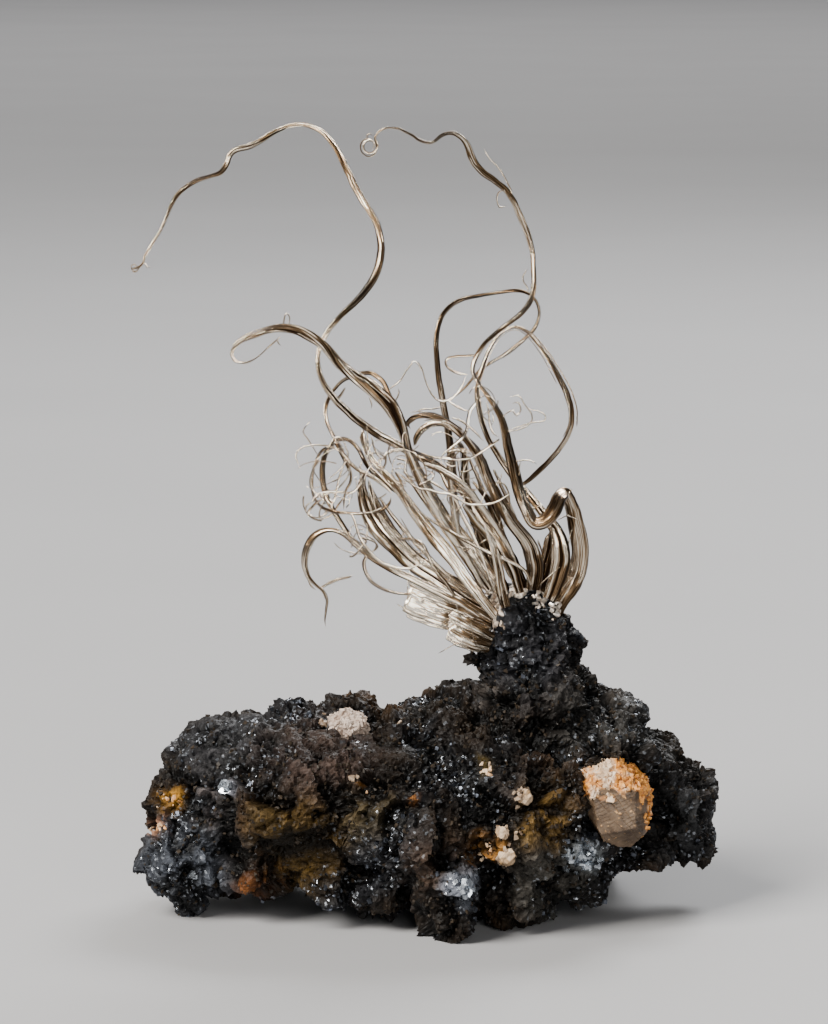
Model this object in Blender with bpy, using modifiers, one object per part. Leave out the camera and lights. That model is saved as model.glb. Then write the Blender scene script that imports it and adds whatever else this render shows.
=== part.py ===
"""Native silver specimen: curled silver wires and blades that grow from the neck of a dark ore rock.

The rock stands on the lowest of its own lumps, cut flat. A pale calcite crystal, a crust of white quartz
and a few small grains sit on it. Each wire or blade of silver is a solid of its own.

Places are read in the specimen's front view as (column, row, depth): a pixel of an 828 x 1024 view and
the distance in millimetres behind the specimen's middle plane. spot() turns them into metres. The silver
fans out in depth as it leaves the neck: fanned() widens its depths with the distance from there.
Run with: blender --background --python part.py
"""

import math

import bmesh
import bpy
import numpy as np
from mathutils import Vector, noise

# Driving dimensions, in metres
MM = 0.001
ROCK_WIDTH = 0.098
CLEARANCE = 0.0006
CLEARANCE_VOXEL = 0.0008
CLEARANCE_SHARE = 0.16  # of the fine skin's faces
ROCK_VOXEL = 0.0012
ROCK_TRIANGLES = 3200

# The front view: its frame in pixels, and where it is seen from
FRAME_COLUMNS, FRAME_ROWS = 828, 1024
ROCK_COLUMNS = 576
PIXEL = ROCK_WIDTH / ROCK_COLUMNS
VIEW_DISTANCE = 0.8
VIEW_ELEVATION = math.radians(8)
VIEW_TARGET = Vector((-0.0025, -0.0019, 0.0686))

# How the silver spreads: its centre in the view, and the growth of depth with each 100 pixels from there
NECK_COLUMN, NECK_ROW = 525, 600
FAN_RATE = 0.35

# Rock lumps: (column, row, depth, then the half sizes in X, Y and Z in millimetres)
ROCK_LUMPS = {
    "left_mass": (222, 797, 2, 11, 18, 12.5),
    "left_knob": (219, 748, 2, 6.0, 10, 5),
    "left_shoulder": (182, 800, -2, 5.2, 10, 7),
    "left_foot": (182, 862, -8, 6.5, 8, 6.5),
    "left_foot_toe": (190, 896, -7, 3.6, 4.5, 3.6),
    "left_foot_back": (205, 850, 6, 7, 9, 7),
    "middle_left": (300, 790, -4, 16, 22, 12.5),
    "top_ridge_a": (263, 740, 2, 5.5, 10, 4.2),
    "top_ridge_b": (297, 721, 4, 4.6, 8, 4),
    "top_ridge_c": (350, 722, 4, 6, 9, 4.2),
    "lower_left": (258, 862, -6, 6, 12, 5.4),
    "lower_middle": (332, 865, -8, 7, 12, 5.6),
    "lower_step": (385, 880, -10, 7, 11, 4.8),
    "middle": (400, 795, -4, 15, 24, 13),
    "front_knee": (425, 838, -22, 8.6, 8, 8.5),
    "front_leg": (440, 878, -23, 6, 7, 8.2),
    "front_toe": (450, 916, -25, 4.2, 5.2, 4.6),
    "middle_right": (500, 802, -3, 16, 26, 14.5),
    "belly_right": (515, 880, -12, 10, 12, 6.8),
    "belly_far_right": (574, 868, -10, 6.6, 10, 6),
    "right_mass": (590, 795, 2, 13, 22, 12),
    "saddle": (448, 722, 2, 7.5, 14, 5.4),
    "saddle_left": (410, 742, 2, 6.5, 13, 4),
    "neck_base": (540, 712, 1, 11.6, 14, 11),
    "neck": (531, 660, 0, 6.9, 8.2, 8.5),
    "neck_top": (524, 613, 0, 5.8, 7.2, 4.6),
    "neck_left_bulge": (480, 659, -2, 2.4, 3.6, 2.2),
    "neck_right_flap": (569, 645, 2, 2.7, 3.6, 4.4),
    "right_slope": (594, 729, 3, 9.2, 16, 6.8),
    "right_shoulder": (634, 774, 3, 8.0, 15, 7.8),
    "crystal_brow": (612, 752, -13, 6.5, 6, 3.4),
    "crystal_left_ridge": (569, 806, -19, 3.4, 5, 7),
    "crystal_sill": (640, 854, -11, 5.5, 6, 2.6),
    "right_wing": (678, 808, 2, 5.6, 12, 7.4),
    "right_wing_low": (685, 842, 1, 4.6, 9, 3.2),
    "right_wing_tip": (699, 784, 1, 2, 5, 2.6),
    "back_left": (285, 785, 20, 13, 12, 11.5),
    "back_middle": (430, 775, 21, 17, 13, 13),
    "back_right": (575, 790, 19, 14, 13, 11.5),
    "back_left_leg": (270, 840, 24, 6.5, 6.5, 9.5),
    "back_right_leg": (590, 835, 23, 7, 7, 10),
}
# Hollows pressed into the rock: (column, row, depth, reach and depth in millimetres)
ROCK_PITS = {
    "crystal_socket": (618, 806, -20, 7.5, 3.0),
    "wing_shadow": (652, 806, -12, 6.5, 3.2),
    "middle_cave": (476, 806, -26, 6.5, 2.2),
    "under_ledge": (372, 776, -24, 6.0, 1.8),
    "left_notch": (228, 866, -16, 5.5, 2.4),
    "knee_hollow": (488, 868, -24, 5.0, 2.2),
    "quartz_seat": (346, 726, -14, 4.5, 1.4),
    "neck_crack": (505, 700, -12, 4.5, 1.6),
}
FACETS = ((0.0078, 0.34), (0.0036, 0.30))  # Voronoi cell size in metres, and tilt of its face
SWELL_SIZE, SWELL_HEIGHT = 0.011, 0.0011
GOLDEN_ANGLE = math.pi * (3 - math.sqrt(5))
ROOTED_BELOW_ROW = 583  # a strand that starts under this row of the view meets the rock

# Crystals and grains on the rock: (column, row, depth) and the half sizes in millimetres
CALCITE_PLACE, CALCITE_HALF = (613, 803, -17.4), (6.6, 6.2, 7.5)
# Its faces: the way each looks (x, y, z), and its distance from the middle as a share of the half sizes
CALCITE_FACES = {
    "front": (-0.06, -1.0, 0.02, 0.76),
    "front_left": (-0.84, -0.60, -0.10, 0.82),
    "front_right": (0.86, -0.52, 0.05, 0.88),
    "front_top": (0.02, -0.80, 0.60, 0.80),
    "front_low": (0.10, -0.62, -0.80, 0.90),
    "left": (-1.0, 0.05, 0.25, 0.95),
    "right": (1.0, 0.10, -0.15, 0.93),
    "left_top": (-0.60, -0.22, 0.80, 0.93),
    "right_top": (0.66, -0.20, 0.72, 0.84),
    "left_low": (-0.86, -0.20, -0.56, 0.74),
    "right_low": (0.66, -0.16, -0.78, 1.08),
    "back_left": (-0.7, 0.8, 0.0, 0.92),
    "back_right": (0.7, 0.8, 0.0, 0.92),
    "back_top": (0.0, 0.8, 0.7, 0.92),
    "back_low": (0.0, 0.8, -0.7, 0.92),
}
QUARTZ_PLACE, QUARTZ_HALF = (348, 727, -8), (4.0, 3.6, 3.4)
GRAINS = {
    "white_grain_upper": ((524, 797, -26.4), 1.5),
    "white_grain_lower": ((503, 833, -28.6), 1.3),
    "yellow_grain": ((507, 857, -28.6), 1.6),
}

# Silver: each route runs from root to tip as (column, row, depth, width), depth and width in millimetres.
# flat is thickness over width, sides the corners of the section.
STRANDS = {
    "right_high_tendril": {
        "flat": 0.55,
        "sides": 6,
        "route": (
            (556, 616, 2.0, 1.9), (561, 603, 2.0, 2.4), (570, 589, 2.2, 2.9), (577, 573, 2.4, 3.1),
            (580, 556, 2.2, 3.1), (579, 538, 1.6, 3.0), (575, 520, 0.8, 2.8), (571, 505, -0.4, 2.4),
            (565, 494, -2.2, 2.2), (559, 498, -4.4, 2.4), (554, 510, -6.0, 2.6), (545, 521, -7.0, 2.5),
            (534, 522, -7.0, 2.3), (526, 509, -6.2, 2.2), (520, 494, -5.6, 2.2), (516, 479, -5.2, 2.2),
            (512, 463, -5.0, 2.1), (508, 447, -4.7, 1.9), (505, 432, -4.4, 1.7), (501, 418, -4.0, 1.5),
            (494, 405, -3.5, 1.35), (485, 392, -2.8, 1.05), (477, 381, -2.2, 1.0), (472.5, 371, -2.0, 1.1),
            (475, 359, -1.6, 1.35), (484, 345, -0.9, 1.45), (496, 333, 0.0, 1.5), (510, 322.5, 0.6, 1.5),
            (522, 312, 1.2, 1.5), (530.5, 299, 2.2, 1.3), (533.5, 283, 3.0, 1.15), (533, 266, 3.5, 1.1),
            (532, 250, 3.9, 1.1), (527, 233, 4.1, 1.3), (520, 216, 4.1, 1.3), (514, 202, 3.9, 1.15),
            (506, 190, 3.5, 1.15), (495, 181, 3.1, 1.15), (485, 174, 2.8, 1.25), (476, 165, 2.4, 1.3),
            (471, 155, 2.0, 1.3), (467, 145, 1.5, 1.1), (460, 136.5, 1.0, 0.8), (450, 133, 0.5, 0.7),
            (441, 136, 0.0, 0.65), (431, 143, -0.6, 0.55), (420, 140.5, -1.2, 0.5),
            (410, 134.5, -1.8, 0.45), (399, 129, -2.4, 0.42), (388, 128, -2.8, 0.4), (380, 131, -3.0, 0.38),
            (375.5, 137, -3.1, 0.38), (377, 147, -3.2, 0.4), (374, 154.5, -3.35, 0.42),
            (367.5, 156.5, -3.5, 0.42), (361.5, 151.5, -3.65, 0.4), (361, 143.5, -3.8, 0.4),
            (367, 138.5, -3.95, 0.36), (373, 140, -4.1, 0.3),
        ),
    },
    "right_loop": {
        "flat": 0.5,
        "sides": 6,
        "route": (
            (549, 599, -3.2, 2.4), (556, 581, -3.2, 2.9), (561, 562, -3.2, 3.2), (560, 545, -3.0, 3.0),
            (555, 529, -2.5, 2.2), (546, 517, -1.8, 1.7), (536, 504, -0.9, 1.5), (526, 492, 0.0, 1.35),
            (516, 480, 0.6, 1.3), (507, 468.5, 1.0, 1.2), (499, 457, 1.0, 1.15), (491.5, 445, 1.0, 1.1),
            (485.5, 432, 1.0, 1.1), (481, 418, 1.0, 1.15), (478.5, 405, 1.0, 1.15), (477, 393, 1.2, 1.1),
            (478.5, 381, 1.6, 1.0), (482, 369, 2.0, 1.05), (486, 357, 2.2, 1.1), (491.5, 345.5, 2.5, 1.05),
            (498.5, 336, 2.8, 0.95), (507, 329.5, 3.0, 0.85), (516, 327.5, 3.0, 0.8),
            (526, 331.5, 2.8, 0.9), (536, 341, 2.5, 1.05), (545.5, 354, 2.0, 1.15),
            (553.5, 367.5, 1.5, 1.2), (561.5, 382, 1.0, 1.25), (568, 396.5, 0.5, 1.2),
            (571.5, 411, 0.1, 1.1), (571, 425.5, 0.1, 1.0), (566, 439, 0.5, 0.95), (557, 452, 1.1, 0.9),
            (547, 463, 2.0, 0.9), (536.5, 473, 3.0, 0.95), (528, 480.5, 4.0, 0.8), (522, 485, 4.6, 0.7),
            (515.5, 489.5, 5.2, 0.6),
        ),
    },
    "brown_loop": {
        "flat": 0.6,
        "sides": 6,
        "route": (
            (509, 596, 4.4, 1.4), (496, 582, 5.2, 1.35), (481, 566, 6.0, 1.3), (469, 551, 6.5, 1.3),
            (460, 535, 6.5, 1.25), (455, 518, 6.0, 1.2), (453, 500, 5.5, 1.2), (452, 482, 5.0, 1.2),
            (451, 464, 4.5, 1.25), (450, 447, 4.0, 1.3), (448, 430, 3.5, 1.3), (445, 413, 3.1, 1.25),
            (442, 396, 3.0, 1.2), (439, 379, 3.0, 1.15), (437, 361, 3.0, 1.1), (436, 343, 3.1, 1.05),
            (438, 327, 3.6, 1.0), (443.5, 314, 4.1, 1.0), (452.5, 304.5, 4.7, 1.05), (464, 299, 5.2, 1.0),
            (477, 296, 5.6, 0.95), (490, 294, 5.9, 0.95), (503, 292, 6.0, 1.0), (516, 290.5, 6.0, 1.1),
            (527, 293, 6.0, 1.0), (535, 300, 6.0, 0.85), (539, 310, 6.0, 0.8), (538, 321, 6.0, 0.75),
            (532, 331.5, 6.0, 0.75), (523, 340, 6.0, 0.7), (512, 349, 5.8, 0.7), (500, 357, 5.4, 0.6),
            (490, 363, 5.0, 0.6), (481, 369, 4.8, 0.55), (473, 378, 4.5, 0.5), (465, 387.5, 4.2, 0.45),
            (456, 395, 4.0, 0.4), (449, 399, 3.9, 0.3),
        ),
    },
    "left_high_tendril": {
        "flat": 0.6,
        "sides": 6,
        "route": (
            (520, 592, -4.4, 1.5), (513, 570, -5.4, 1.8), (503, 552, -5.5, 2.0), (492, 536, -5.0, 1.9),
            (481, 521, -4.5, 1.8), (472, 506, -4.0, 1.6), (463, 491.5, -3.2, 1.5), (452, 479, -2.2, 1.8),
            (440, 468.5, -0.8, 1.8), (425, 459, 0.8, 1.7), (410, 452, 1.9, 1.6), (396, 444.5, 2.0, 1.7),
            (380, 436, 1.6, 1.75), (364, 425.5, 1.1, 1.7), (348, 413, 0.7, 1.6), (335, 400, 0.5, 1.55),
            (325, 386.5, 0.5, 1.3), (319, 372, 0.6, 1.15), (317.5, 357.5, 0.9, 1.0), (321, 343, 1.2, 1.1),
            (329, 329, 1.6, 1.15), (341, 315.5, 2.2, 1.2), (354, 303, 3.0, 1.3), (366, 290, 3.9, 1.45),
            (375, 276, 4.6, 1.45), (380, 260, 5.1, 1.4), (381, 244, 5.6, 1.25), (378, 228, 6.0, 1.2),
            (371, 213, 6.4, 1.2), (362, 199, 6.9, 1.25), (354, 185, 7.4, 1.3), (347, 170, 7.9, 1.25),
            (339, 154, 8.3, 1.2), (330, 140.5, 8.6, 1.1), (320, 131, 8.8, 1.0), (308, 126, 9.0, 0.95),
            (296, 125, 9.0, 0.9), (284, 128, 8.9, 0.9), (272, 134, 8.8, 1.0), (260, 141.5, 8.6, 1.0),
            (248, 146.5, 8.3, 1.1), (236, 150, 8.0, 1.0), (229.5, 156, 7.8, 0.95), (226.5, 165, 7.6, 0.95),
            (220, 173, 7.3, 0.9), (210, 176.5, 7.0, 0.7), (199, 180, 6.7, 0.85), (188, 186, 6.4, 0.9),
            (178, 195, 6.1, 0.9), (171, 206, 5.7, 0.65), (166, 218, 5.3, 0.45), (160, 231, 4.9, 0.38),
            (152, 244, 4.5, 0.34), (145.5, 255, 4.2, 0.3), (142.5, 264, 4.0, 0.28), (136, 268, 3.8, 0.36),
            (131, 269.5, 3.6, 0.3),
        ),
    },
    "left_curl": {
        "flat": 0.52,
        "sides": 6,
        "route": (
            (496, 594, 2.6, 2.2), (484, 577, 2.5, 2.5), (471, 559, 2.3, 2.8), (459, 541, 2.2, 2.9),
            (447, 524, 2.0, 3.0), (437, 508, 1.5, 3.0), (428, 491, 0.8, 3.0), (420, 476, -0.2, 2.9),
            (413, 462, -1.2, 2.6), (408, 448, -2.2, 2.1), (403.5, 434, -2.8, 2.3), (398, 420, -3.1, 2.45),
            (390.5, 406.5, -3.2, 2.7), (380, 395, -3.2, 2.7), (367, 385, -3.1, 2.7), (354, 376, -3.0, 2.55),
            (342, 366.5, -3.0, 2.4), (332.5, 356, -3.0, 2.2), (323, 345.5, -3.1, 1.95),
            (311, 336.5, -3.3, 1.85), (297, 330, -3.6, 1.7), (282, 328, -4.0, 1.5),
            (268, 330.5, -4.2, 1.35), (254, 335.5, -4.3, 1.2), (242, 341, -4.3, 0.85),
            (234, 348, -4.3, 0.7), (232, 355, -4.4, 0.6), (236, 361, -4.7, 0.5), (245, 362.5, -5.1, 0.42),
            (254, 359.5, -5.6, 0.36), (262, 353, -6.0, 0.32), (271, 345, -6.3, 0.3), (280, 337, -6.5, 0.26),
        ),
    },
    "small_hook": {
        "flat": 0.8,
        "sides": 5,
        "route": (
            (476, 355.5, 0.3, 0.42), (466, 356, 0.4, 0.45), (455, 356.5, 0.5, 0.45),
            (447.5, 358.5, 0.5, 0.45),
            (445.5, 363.5, 0.5, 0.42), (450, 369.5, 0.5, 0.45), (459, 373.5, 0.4, 0.45),
            (468, 374.5, 0.2, 0.4),
        ),
    },
    "central_arch": {
        "flat": 0.55,
        "sides": 8,
        "route": (
            (533, 588, -3.0, 2.5), (535, 570, -4.0, 2.9), (532, 553, -5.0, 2.8), (526, 540, -5.8, 2.5),
            (516, 528, -6.2, 2.3), (507, 515, -6.3, 2.2), (499, 501, -6.1, 2.2), (492, 487, -5.7, 2.1),
            (486, 474, -5.4, 2.1), (481, 461, -5.1, 2.1), (474, 449, -4.9, 2.1), (464.5, 438, -4.6, 1.9),
            (454.5, 429, -4.3, 2.1), (444, 423.5, -4.1, 2.0), (433, 423.5, -4.0, 1.8),
            (424, 428, -4.0, 1.55), (417.5, 435.5, -4.0, 1.3), (413.5, 446, -4.1, 0.9),
        ),
    },
    "rough_arch": {
        "flat": 0.65,
        "sides": 6,
        "route": (
            (460, 432, -2.6, 1.0), (447, 422, -2.3, 1.2), (435, 416.5, -2.1, 1.35), (423, 415, -2.0, 1.35),
            (413.5, 418, -1.9, 1.2), (408, 424, -1.7, 0.8), (410.5, 429, -1.6, 0.4),
        ),
    },
    "rough_blade": {
        "flat": 0.5,
        "sides": 6,
        "route": (
            (505, 592, 0.4, 1.7), (497, 571, 0.4, 1.9), (490, 553, 0.4, 2.1), (482, 536, 0.4, 2.3),
            (475, 519, 0.4, 2.2), (469.5, 501, 0.4, 2.0), (466.5, 483, 0.2, 2.0), (465, 466, -0.1, 2.0),
            (463, 451, -0.6, 1.8), (457, 441, -1.2, 1.3),
        ),
    },
    "front_blade": {
        "flat": 0.5,
        "sides": 6,
        "route": (
            (495, 616, -5.4, 1.7), (481, 598, -5.6, 2.0), (468, 581, -5.3, 2.1), (457, 565, -4.9, 2.2),
            (446, 551, -4.5, 2.4), (434, 537, -4.0, 2.5), (423, 523, -3.5, 2.4), (413, 509.5, -3.0, 2.2),
            (404.5, 497, -2.5, 2.0), (397, 487, -2.1, 2.0), (388, 478, -1.7, 1.9), (378.5, 468.5, -1.2, 1.7),
            (370.5, 458, -0.8, 1.4), (365, 446, -0.5, 1.2), (363, 436, -0.3, 1.2), (364, 429, -0.2, 0.8),
        ),
    },
    "inner_blade": {
        "flat": 0.5,
        "sides": 6,
        "route": (
            (502, 598, -2.0, 1.8), (492, 578, -2.0, 2.1), (482, 563, -1.9, 2.2), (472, 549, -1.7, 2.2),
            (463, 537, -1.5, 2.0), (455, 526, -1.4, 1.6), (447, 514, -1.2, 0.9),
        ),
    },
    "left_blade": {
        "flat": 0.42,
        "sides": 8,
        "route": (
            (486, 610, -1.0, 2.2), (467, 598, -1.2, 2.6), (451, 588, -1.4, 2.7), (436, 578.5, -1.5, 2.7),
            (421, 569, -1.5, 2.8), (408, 559, -1.5, 2.9), (397, 548, -1.5, 3.1), (386, 537, -1.5, 3.4),
            (376, 525, -1.4, 3.4), (368.5, 512, -1.2, 3.0), (364, 499, -1.0, 2.4), (362, 487, -0.9, 1.8),
            (363, 477, -0.8, 1.3), (366.5, 471, -0.7, 0.7),
        ),
    },
    "back_left_blade": {
        "flat": 0.5,
        "sides": 6,
        "route": (
            (489, 605, 1.0, 1.8), (470, 590, 1.0, 2.0), (453, 581, 1.0, 1.9), (436, 571, 1.0, 1.8),
            (420, 560, 1.0, 1.6), (407, 548, 1.0, 1.5), (396, 534, 1.0, 1.4), (386, 519, 1.0, 1.4),
            (377.5, 504, 1.0, 1.3), (371.5, 491, 1.0, 1.2), (368, 480, 1.0, 0.8),
        ),
    },
    "broad_sheet": {
        "flat": 0.17,
        "sides": 8,
        "route": (
            (490, 627, -3.2, 3.4), (473, 620, -3.3, 5.0), (456, 614, -3.4, 6.2), (438, 608, -3.5, 7.0),
            (421, 601, -3.5, 7.4), (408, 595, -3.5, 7.0), (401, 592, -3.5, 6.2),
        ),
    },
    "frayed_stub": {
        "flat": 0.26,
        "sides": 8,
        "route": (
            (491, 643, -4.2, 3.0), (478, 638, -5.4, 4.2), (465, 632, -5.9, 4.6), (453, 625, -6.0, 4.4),
            (444, 620, -6.0, 3.6),
        ),
    },
    "drooping_hook": {
        "flat": 0.6,
        "sides": 6,
        "route": (
            (479, 616, -6.2, 0.9), (461, 604, -6.6, 1.1), (445, 596, -6.4, 1.2), (428, 587, -6.0, 1.2),
            (410, 578, -5.6, 1.2), (393, 570, -5.2, 1.2), (378, 562, -4.8, 1.1), (364, 551.5, -4.3, 1.1),
            (352, 541, -3.9, 1.0), (341, 533, -3.5, 0.85), (330, 530, -3.3, 0.85), (319, 532.5, -3.1, 1.25),
            (311, 540, -3.0, 1.5), (306, 551, -3.0, 1.55), (304.5, 564, -3.0, 1.4), (308, 576, -3.0, 1.05),
            (316, 585, -3.0, 0.65), (323, 591, -3.0, 0.7), (327, 600, -3.0, 0.8), (326, 611, -3.0, 0.7),
            (325, 620, -3.0, 0.4), (326, 628, -3.0, 0.22),
        ),
    },
    "hook_tine": {
        "flat": 0.8,
        "sides": 5,
        "route": (
            (321, 588, -3.9, 0.4), (329, 583, -4.1, 0.45), (340, 579, -4.4, 0.38), (352, 576.5, -4.8, 0.25),
        ),
    },
    "low_loop": {
        "flat": 0.7,
        "sides": 6,
        "route": (
            (367, 556, -5.6, 0.6), (364, 563, -5.6, 0.65), (366, 573, -5.8, 0.65), (372, 582, -6.1, 0.65),
            (382, 588.5, -6.5, 0.65), (394, 592.5, -6.8, 0.6), (406, 594, -7.0, 0.55), (418, 592, -7.2, 0.4),
        ),
    },
    "brown_strand": {
        "flat": 0.7,
        "sides": 6,
        "route": (
            (355, 545, -2.6, 0.9), (348, 534, -2.2, 1.0), (340, 521, -1.7, 1.0), (332, 508, -1.0, 1.0),
            (326, 495, -0.4, 1.05), (322.5, 480, 0.2, 1.1), (322.5, 465, 0.9, 1.1), (326.5, 452, 2.0, 1.1),
            (334, 442.5, 3.0, 1.0), (343, 438.5, 3.2, 0.95), (352, 441.5, 3.1, 0.9), (359, 450, 2.8, 0.85),
            (364, 460, 2.5, 0.8), (370, 469, 2.3, 0.8), (379, 478, 2.0, 0.9), (389, 486, 1.6, 0.9),
            (395, 493, 1.2, 0.6),
        ),
    },
    "outer_loop": {
        "flat": 0.75,
        "sides": 6,
        "route": (
            (331, 448, 3.9, 0.5), (324, 449, 3.7, 0.55), (318, 456, 3.3, 0.5), (314, 468, 2.7, 0.5),
            (312, 482, 1.8, 0.5), (313, 494, 0.6, 0.55), (317.5, 503, -0.9, 0.6), (325, 509, -2.3, 0.7),
            (336, 512, -3.2, 0.75), (348, 513, -3.5, 0.7), (360, 513.5, -3.7, 0.65),
            (372, 512.5, -3.8, 0.65),
            (383, 509, -3.6, 0.6), (389.5, 503, -3.2, 0.5), (391, 497, -2.8, 0.4),
        ),
    },
    "upper_left_strand": {
        "flat": 0.7,
        "sides": 6,
        "route": (
            (393, 404, -1.6, 0.8), (387.5, 391, -0.8, 0.85), (382, 380.5, -0.2, 0.85), (373, 374, 0.3, 0.85),
            (363, 373, 1.0, 0.8), (352, 376.5, 2.0, 0.75), (343, 380.5, 2.7, 0.7), (336, 387, 3.1, 0.7),
            (330.5, 395, 3.3, 0.75), (326.5, 404, 3.3, 0.85), (325.5, 414, 3.0, 0.9), (328, 425, 2.5, 0.95),
            (333, 435, 1.7, 1.0), (338, 445.5, 1.0, 1.05), (343, 456, 0.8, 1.0), (348, 466, 0.8, 0.75),
            (351, 475, 0.8, 0.55), (350, 483, 0.8, 0.5), (346, 490, 0.8, 0.42), (344, 500, 0.8, 0.38),
            (344, 510, 0.6, 0.3),
        ),
    },
    "long_fine_wire": {
        "flat": 0.8,
        "sides": 5,
        "route": (
            (531, 584, -7.0, 0.6), (525, 571, -8.0, 0.6), (513, 563, -8.2, 0.6), (500, 557, -8.2, 0.6),
            (486, 551, -7.8, 0.6), (472, 544, -7.2, 0.6), (458, 536.5, -6.6, 0.6), (445, 529, -6.1, 0.55),
            (432, 521, -5.7, 0.55), (420, 512.5, -5.2, 0.5), (411, 503, -4.8, 0.5), (404, 492, -4.4, 0.5),
            (400, 480, -4.0, 0.45), (396, 471, -3.7, 0.35),
        ),
    },
    "crossing_wire": {
        "flat": 0.8,
        "sides": 5,
        "route": (
            (499, 439.5, -6.2, 0.35), (493, 444, -6.7, 0.4), (483, 451, -7.1, 0.42),
            (472, 457.5, -7.1, 0.42),
            (460, 459.5, -6.6, 0.42), (445, 458.5, -5.8, 0.42), (431, 456.5, -4.6, 0.42),
            (419, 452, -3.4, 0.42),
        ),
    },
    "curved_white_wire": {
        "flat": 0.6,
        "sides": 5,
        "route": (
            (475, 404, -0.4, 0.5), (470, 411, -2.2, 0.65), (468, 420, -4.0, 0.6), (467, 429, -5.8, 0.6),
            (463.5, 436.5, -6.6, 0.65), (457, 442.5, -6.9, 0.65), (450, 448, -7.0, 0.55),
            (444, 452, -7.0, 0.35),
        ),
    },
    "inner_right_blade": {
        "flat": 0.5,
        "sides": 6,
        "route": (
            (539, 594, 0.6, 2.0), (543, 574, 0.6, 2.2), (547, 556, 0.6, 2.1), (549, 541, 0.6, 1.8),
            (550, 531, 0.4, 1.2),
        ),
    },
    "brown_inner_ribbon": {
        "flat": 0.5,
        "sides": 6,
        "route": (
            (525, 590, -0.4, 1.6), (516, 568, -1.6, 1.8), (506, 548, -2.4, 1.9), (499, 530, -2.6, 1.8),
            (494, 513, -2.6, 1.7), (488, 500, -2.4, 1.4), (480, 490, -2.1, 1.0), (472, 480, -1.7, 0.6),
        ),
    },
    "wavy_wire": {
        "flat": 0.7,
        "sides": 5,
        "route": (
            (455, 596, -7.4, 0.6), (446, 583, -7.6, 0.7), (437, 573, -7.5, 0.75), (431, 563, -7.3, 0.75),
            (427, 553, -7.0, 0.75), (422, 544, -6.6, 0.75), (413, 539.5, -6.2, 0.75), (404, 539, -5.9, 0.65),
            (396, 542, -5.7, 0.4),
        ),
    },
    "second_column": {
        "flat": 0.7,
        "sides": 6,
        "route": (
            (501, 600, 6.4, 1.0), (487, 584, 8.0, 1.0), (474, 567, 8.6, 1.0), (464, 550, 8.6, 1.0),
            (458.5, 532, 8.2, 0.95), (457, 512, 7.6, 0.9), (456, 492, 7.0, 0.9), (455, 472, 6.4, 0.85),
            (454, 452, 5.8, 0.6), (453, 440, 5.4, 0.35),
        ),
    },
    "rough_stalk": {
        "flat": 0.8,
        "sides": 6,
        "route": (
            (506, 606, -6.6, 1.6), (501, 591, -7.4, 1.7), (498, 578, -7.8, 1.4), (497, 567, -8.0, 0.9),
        ),
    },
}

# Finishes: colour, roughness and metallic value
FINISHES = {
    "ore": ((0.055, 0.048, 0.045), 0.62, 0.15),
    "calcite": ((0.52, 0.38, 0.24), 0.45, 0.0),
    "quartz": ((0.62, 0.54, 0.48), 0.55, 0.0),
    "silver": ((0.66, 0.58, 0.48), 0.32, 1.0),
}


def spot(column, row, depth):
    """The point in metres that shows at a pixel of the front view, depth millimetres behind the middle."""
    ahead = Vector((0, math.cos(VIEW_ELEVATION), -math.sin(VIEW_ELEVATION)))
    above = Vector((0, math.sin(VIEW_ELEVATION), math.cos(VIEW_ELEVATION)))
    eye = VIEW_TARGET - VIEW_DISTANCE * ahead
    slope = PIXEL / VIEW_DISTANCE
    right_of_centre = (column - FRAME_COLUMNS / 2) * slope
    over_centre = (FRAME_ROWS / 2 - row) * slope
    sight = ahead + Vector((right_of_centre, 0, 0)) + above * over_centre
    return eye + sight * ((VIEW_TARGET.y + depth * MM - eye.y) / sight.y)


def clear_scene():
    for obj in list(bpy.data.objects):
        bpy.data.objects.remove(obj, do_unlink=True)


def new_collection(name):
    collection = bpy.data.collections.new(name)
    bpy.context.scene.collection.children.link(collection)
    return collection


def finish(name):
    colour, roughness, metallic = FINISHES[name]
    material = bpy.data.materials.new(name)
    material.use_nodes = True
    shader = material.node_tree.nodes["Principled BSDF"]
    shader.inputs["Base Color"].default_value = (*colour, 1)
    shader.inputs["Roughness"].default_value = roughness
    shader.inputs["Metallic"].default_value = metallic
    return material


def add_object(name, mesh, collection, material=None):
    obj = bpy.data.objects.new(name, mesh)
    collection.objects.link(obj)
    if material:
        mesh.materials.clear()
        mesh.materials.append(material)
    return obj


def mesh_of(obj):
    """The object's mesh with its modifiers applied."""
    graph = bpy.context.evaluated_depsgraph_get()
    return bpy.data.meshes.new_from_object(obj.evaluated_get(graph))


def baked(obj):
    """Swaps the object's mesh for its evaluated one, so that the modifiers are spent."""
    mesh = mesh_of(obj)
    obj.modifiers.clear()
    obj.data = mesh
    return obj


def points_of(mesh):
    flat = np.empty(len(mesh.vertices) * 3)
    mesh.vertices.foreach_get("co", flat)
    return flat.reshape(-1, 3)


def normals_of(mesh):
    flat = np.empty(len(mesh.vertices) * 3)
    mesh.vertex_normals.foreach_get("vector", flat)
    return flat.reshape(-1, 3)


def push_out(mesh, heights):
    """Moves each vertex along its normal by its height."""
    moved = points_of(mesh) + normals_of(mesh) * heights[:, None]
    mesh.vertices.foreach_set("co", moved.ravel())
    mesh.update()


def facet_height(point, cell_size, tilt):
    """Height of a flat, tilted face on the Voronoi cell that holds the point."""
    scaled = point / cell_size
    seed = noise.voronoi(scaled)[1][0]
    lean = noise.cell_vector(seed * 7.3) - Vector((0.5, 0.5, 0.5))
    return (scaled - seed).dot(lean) * tilt * 2 * cell_size


def rock_relief(point):
    height = SWELL_HEIGHT * noise.fractal(point / SWELL_SIZE, 1.0, 2.0, 3)
    for cell_size, tilt in FACETS:
        height += facet_height(point, cell_size, tilt)
    return height


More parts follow.
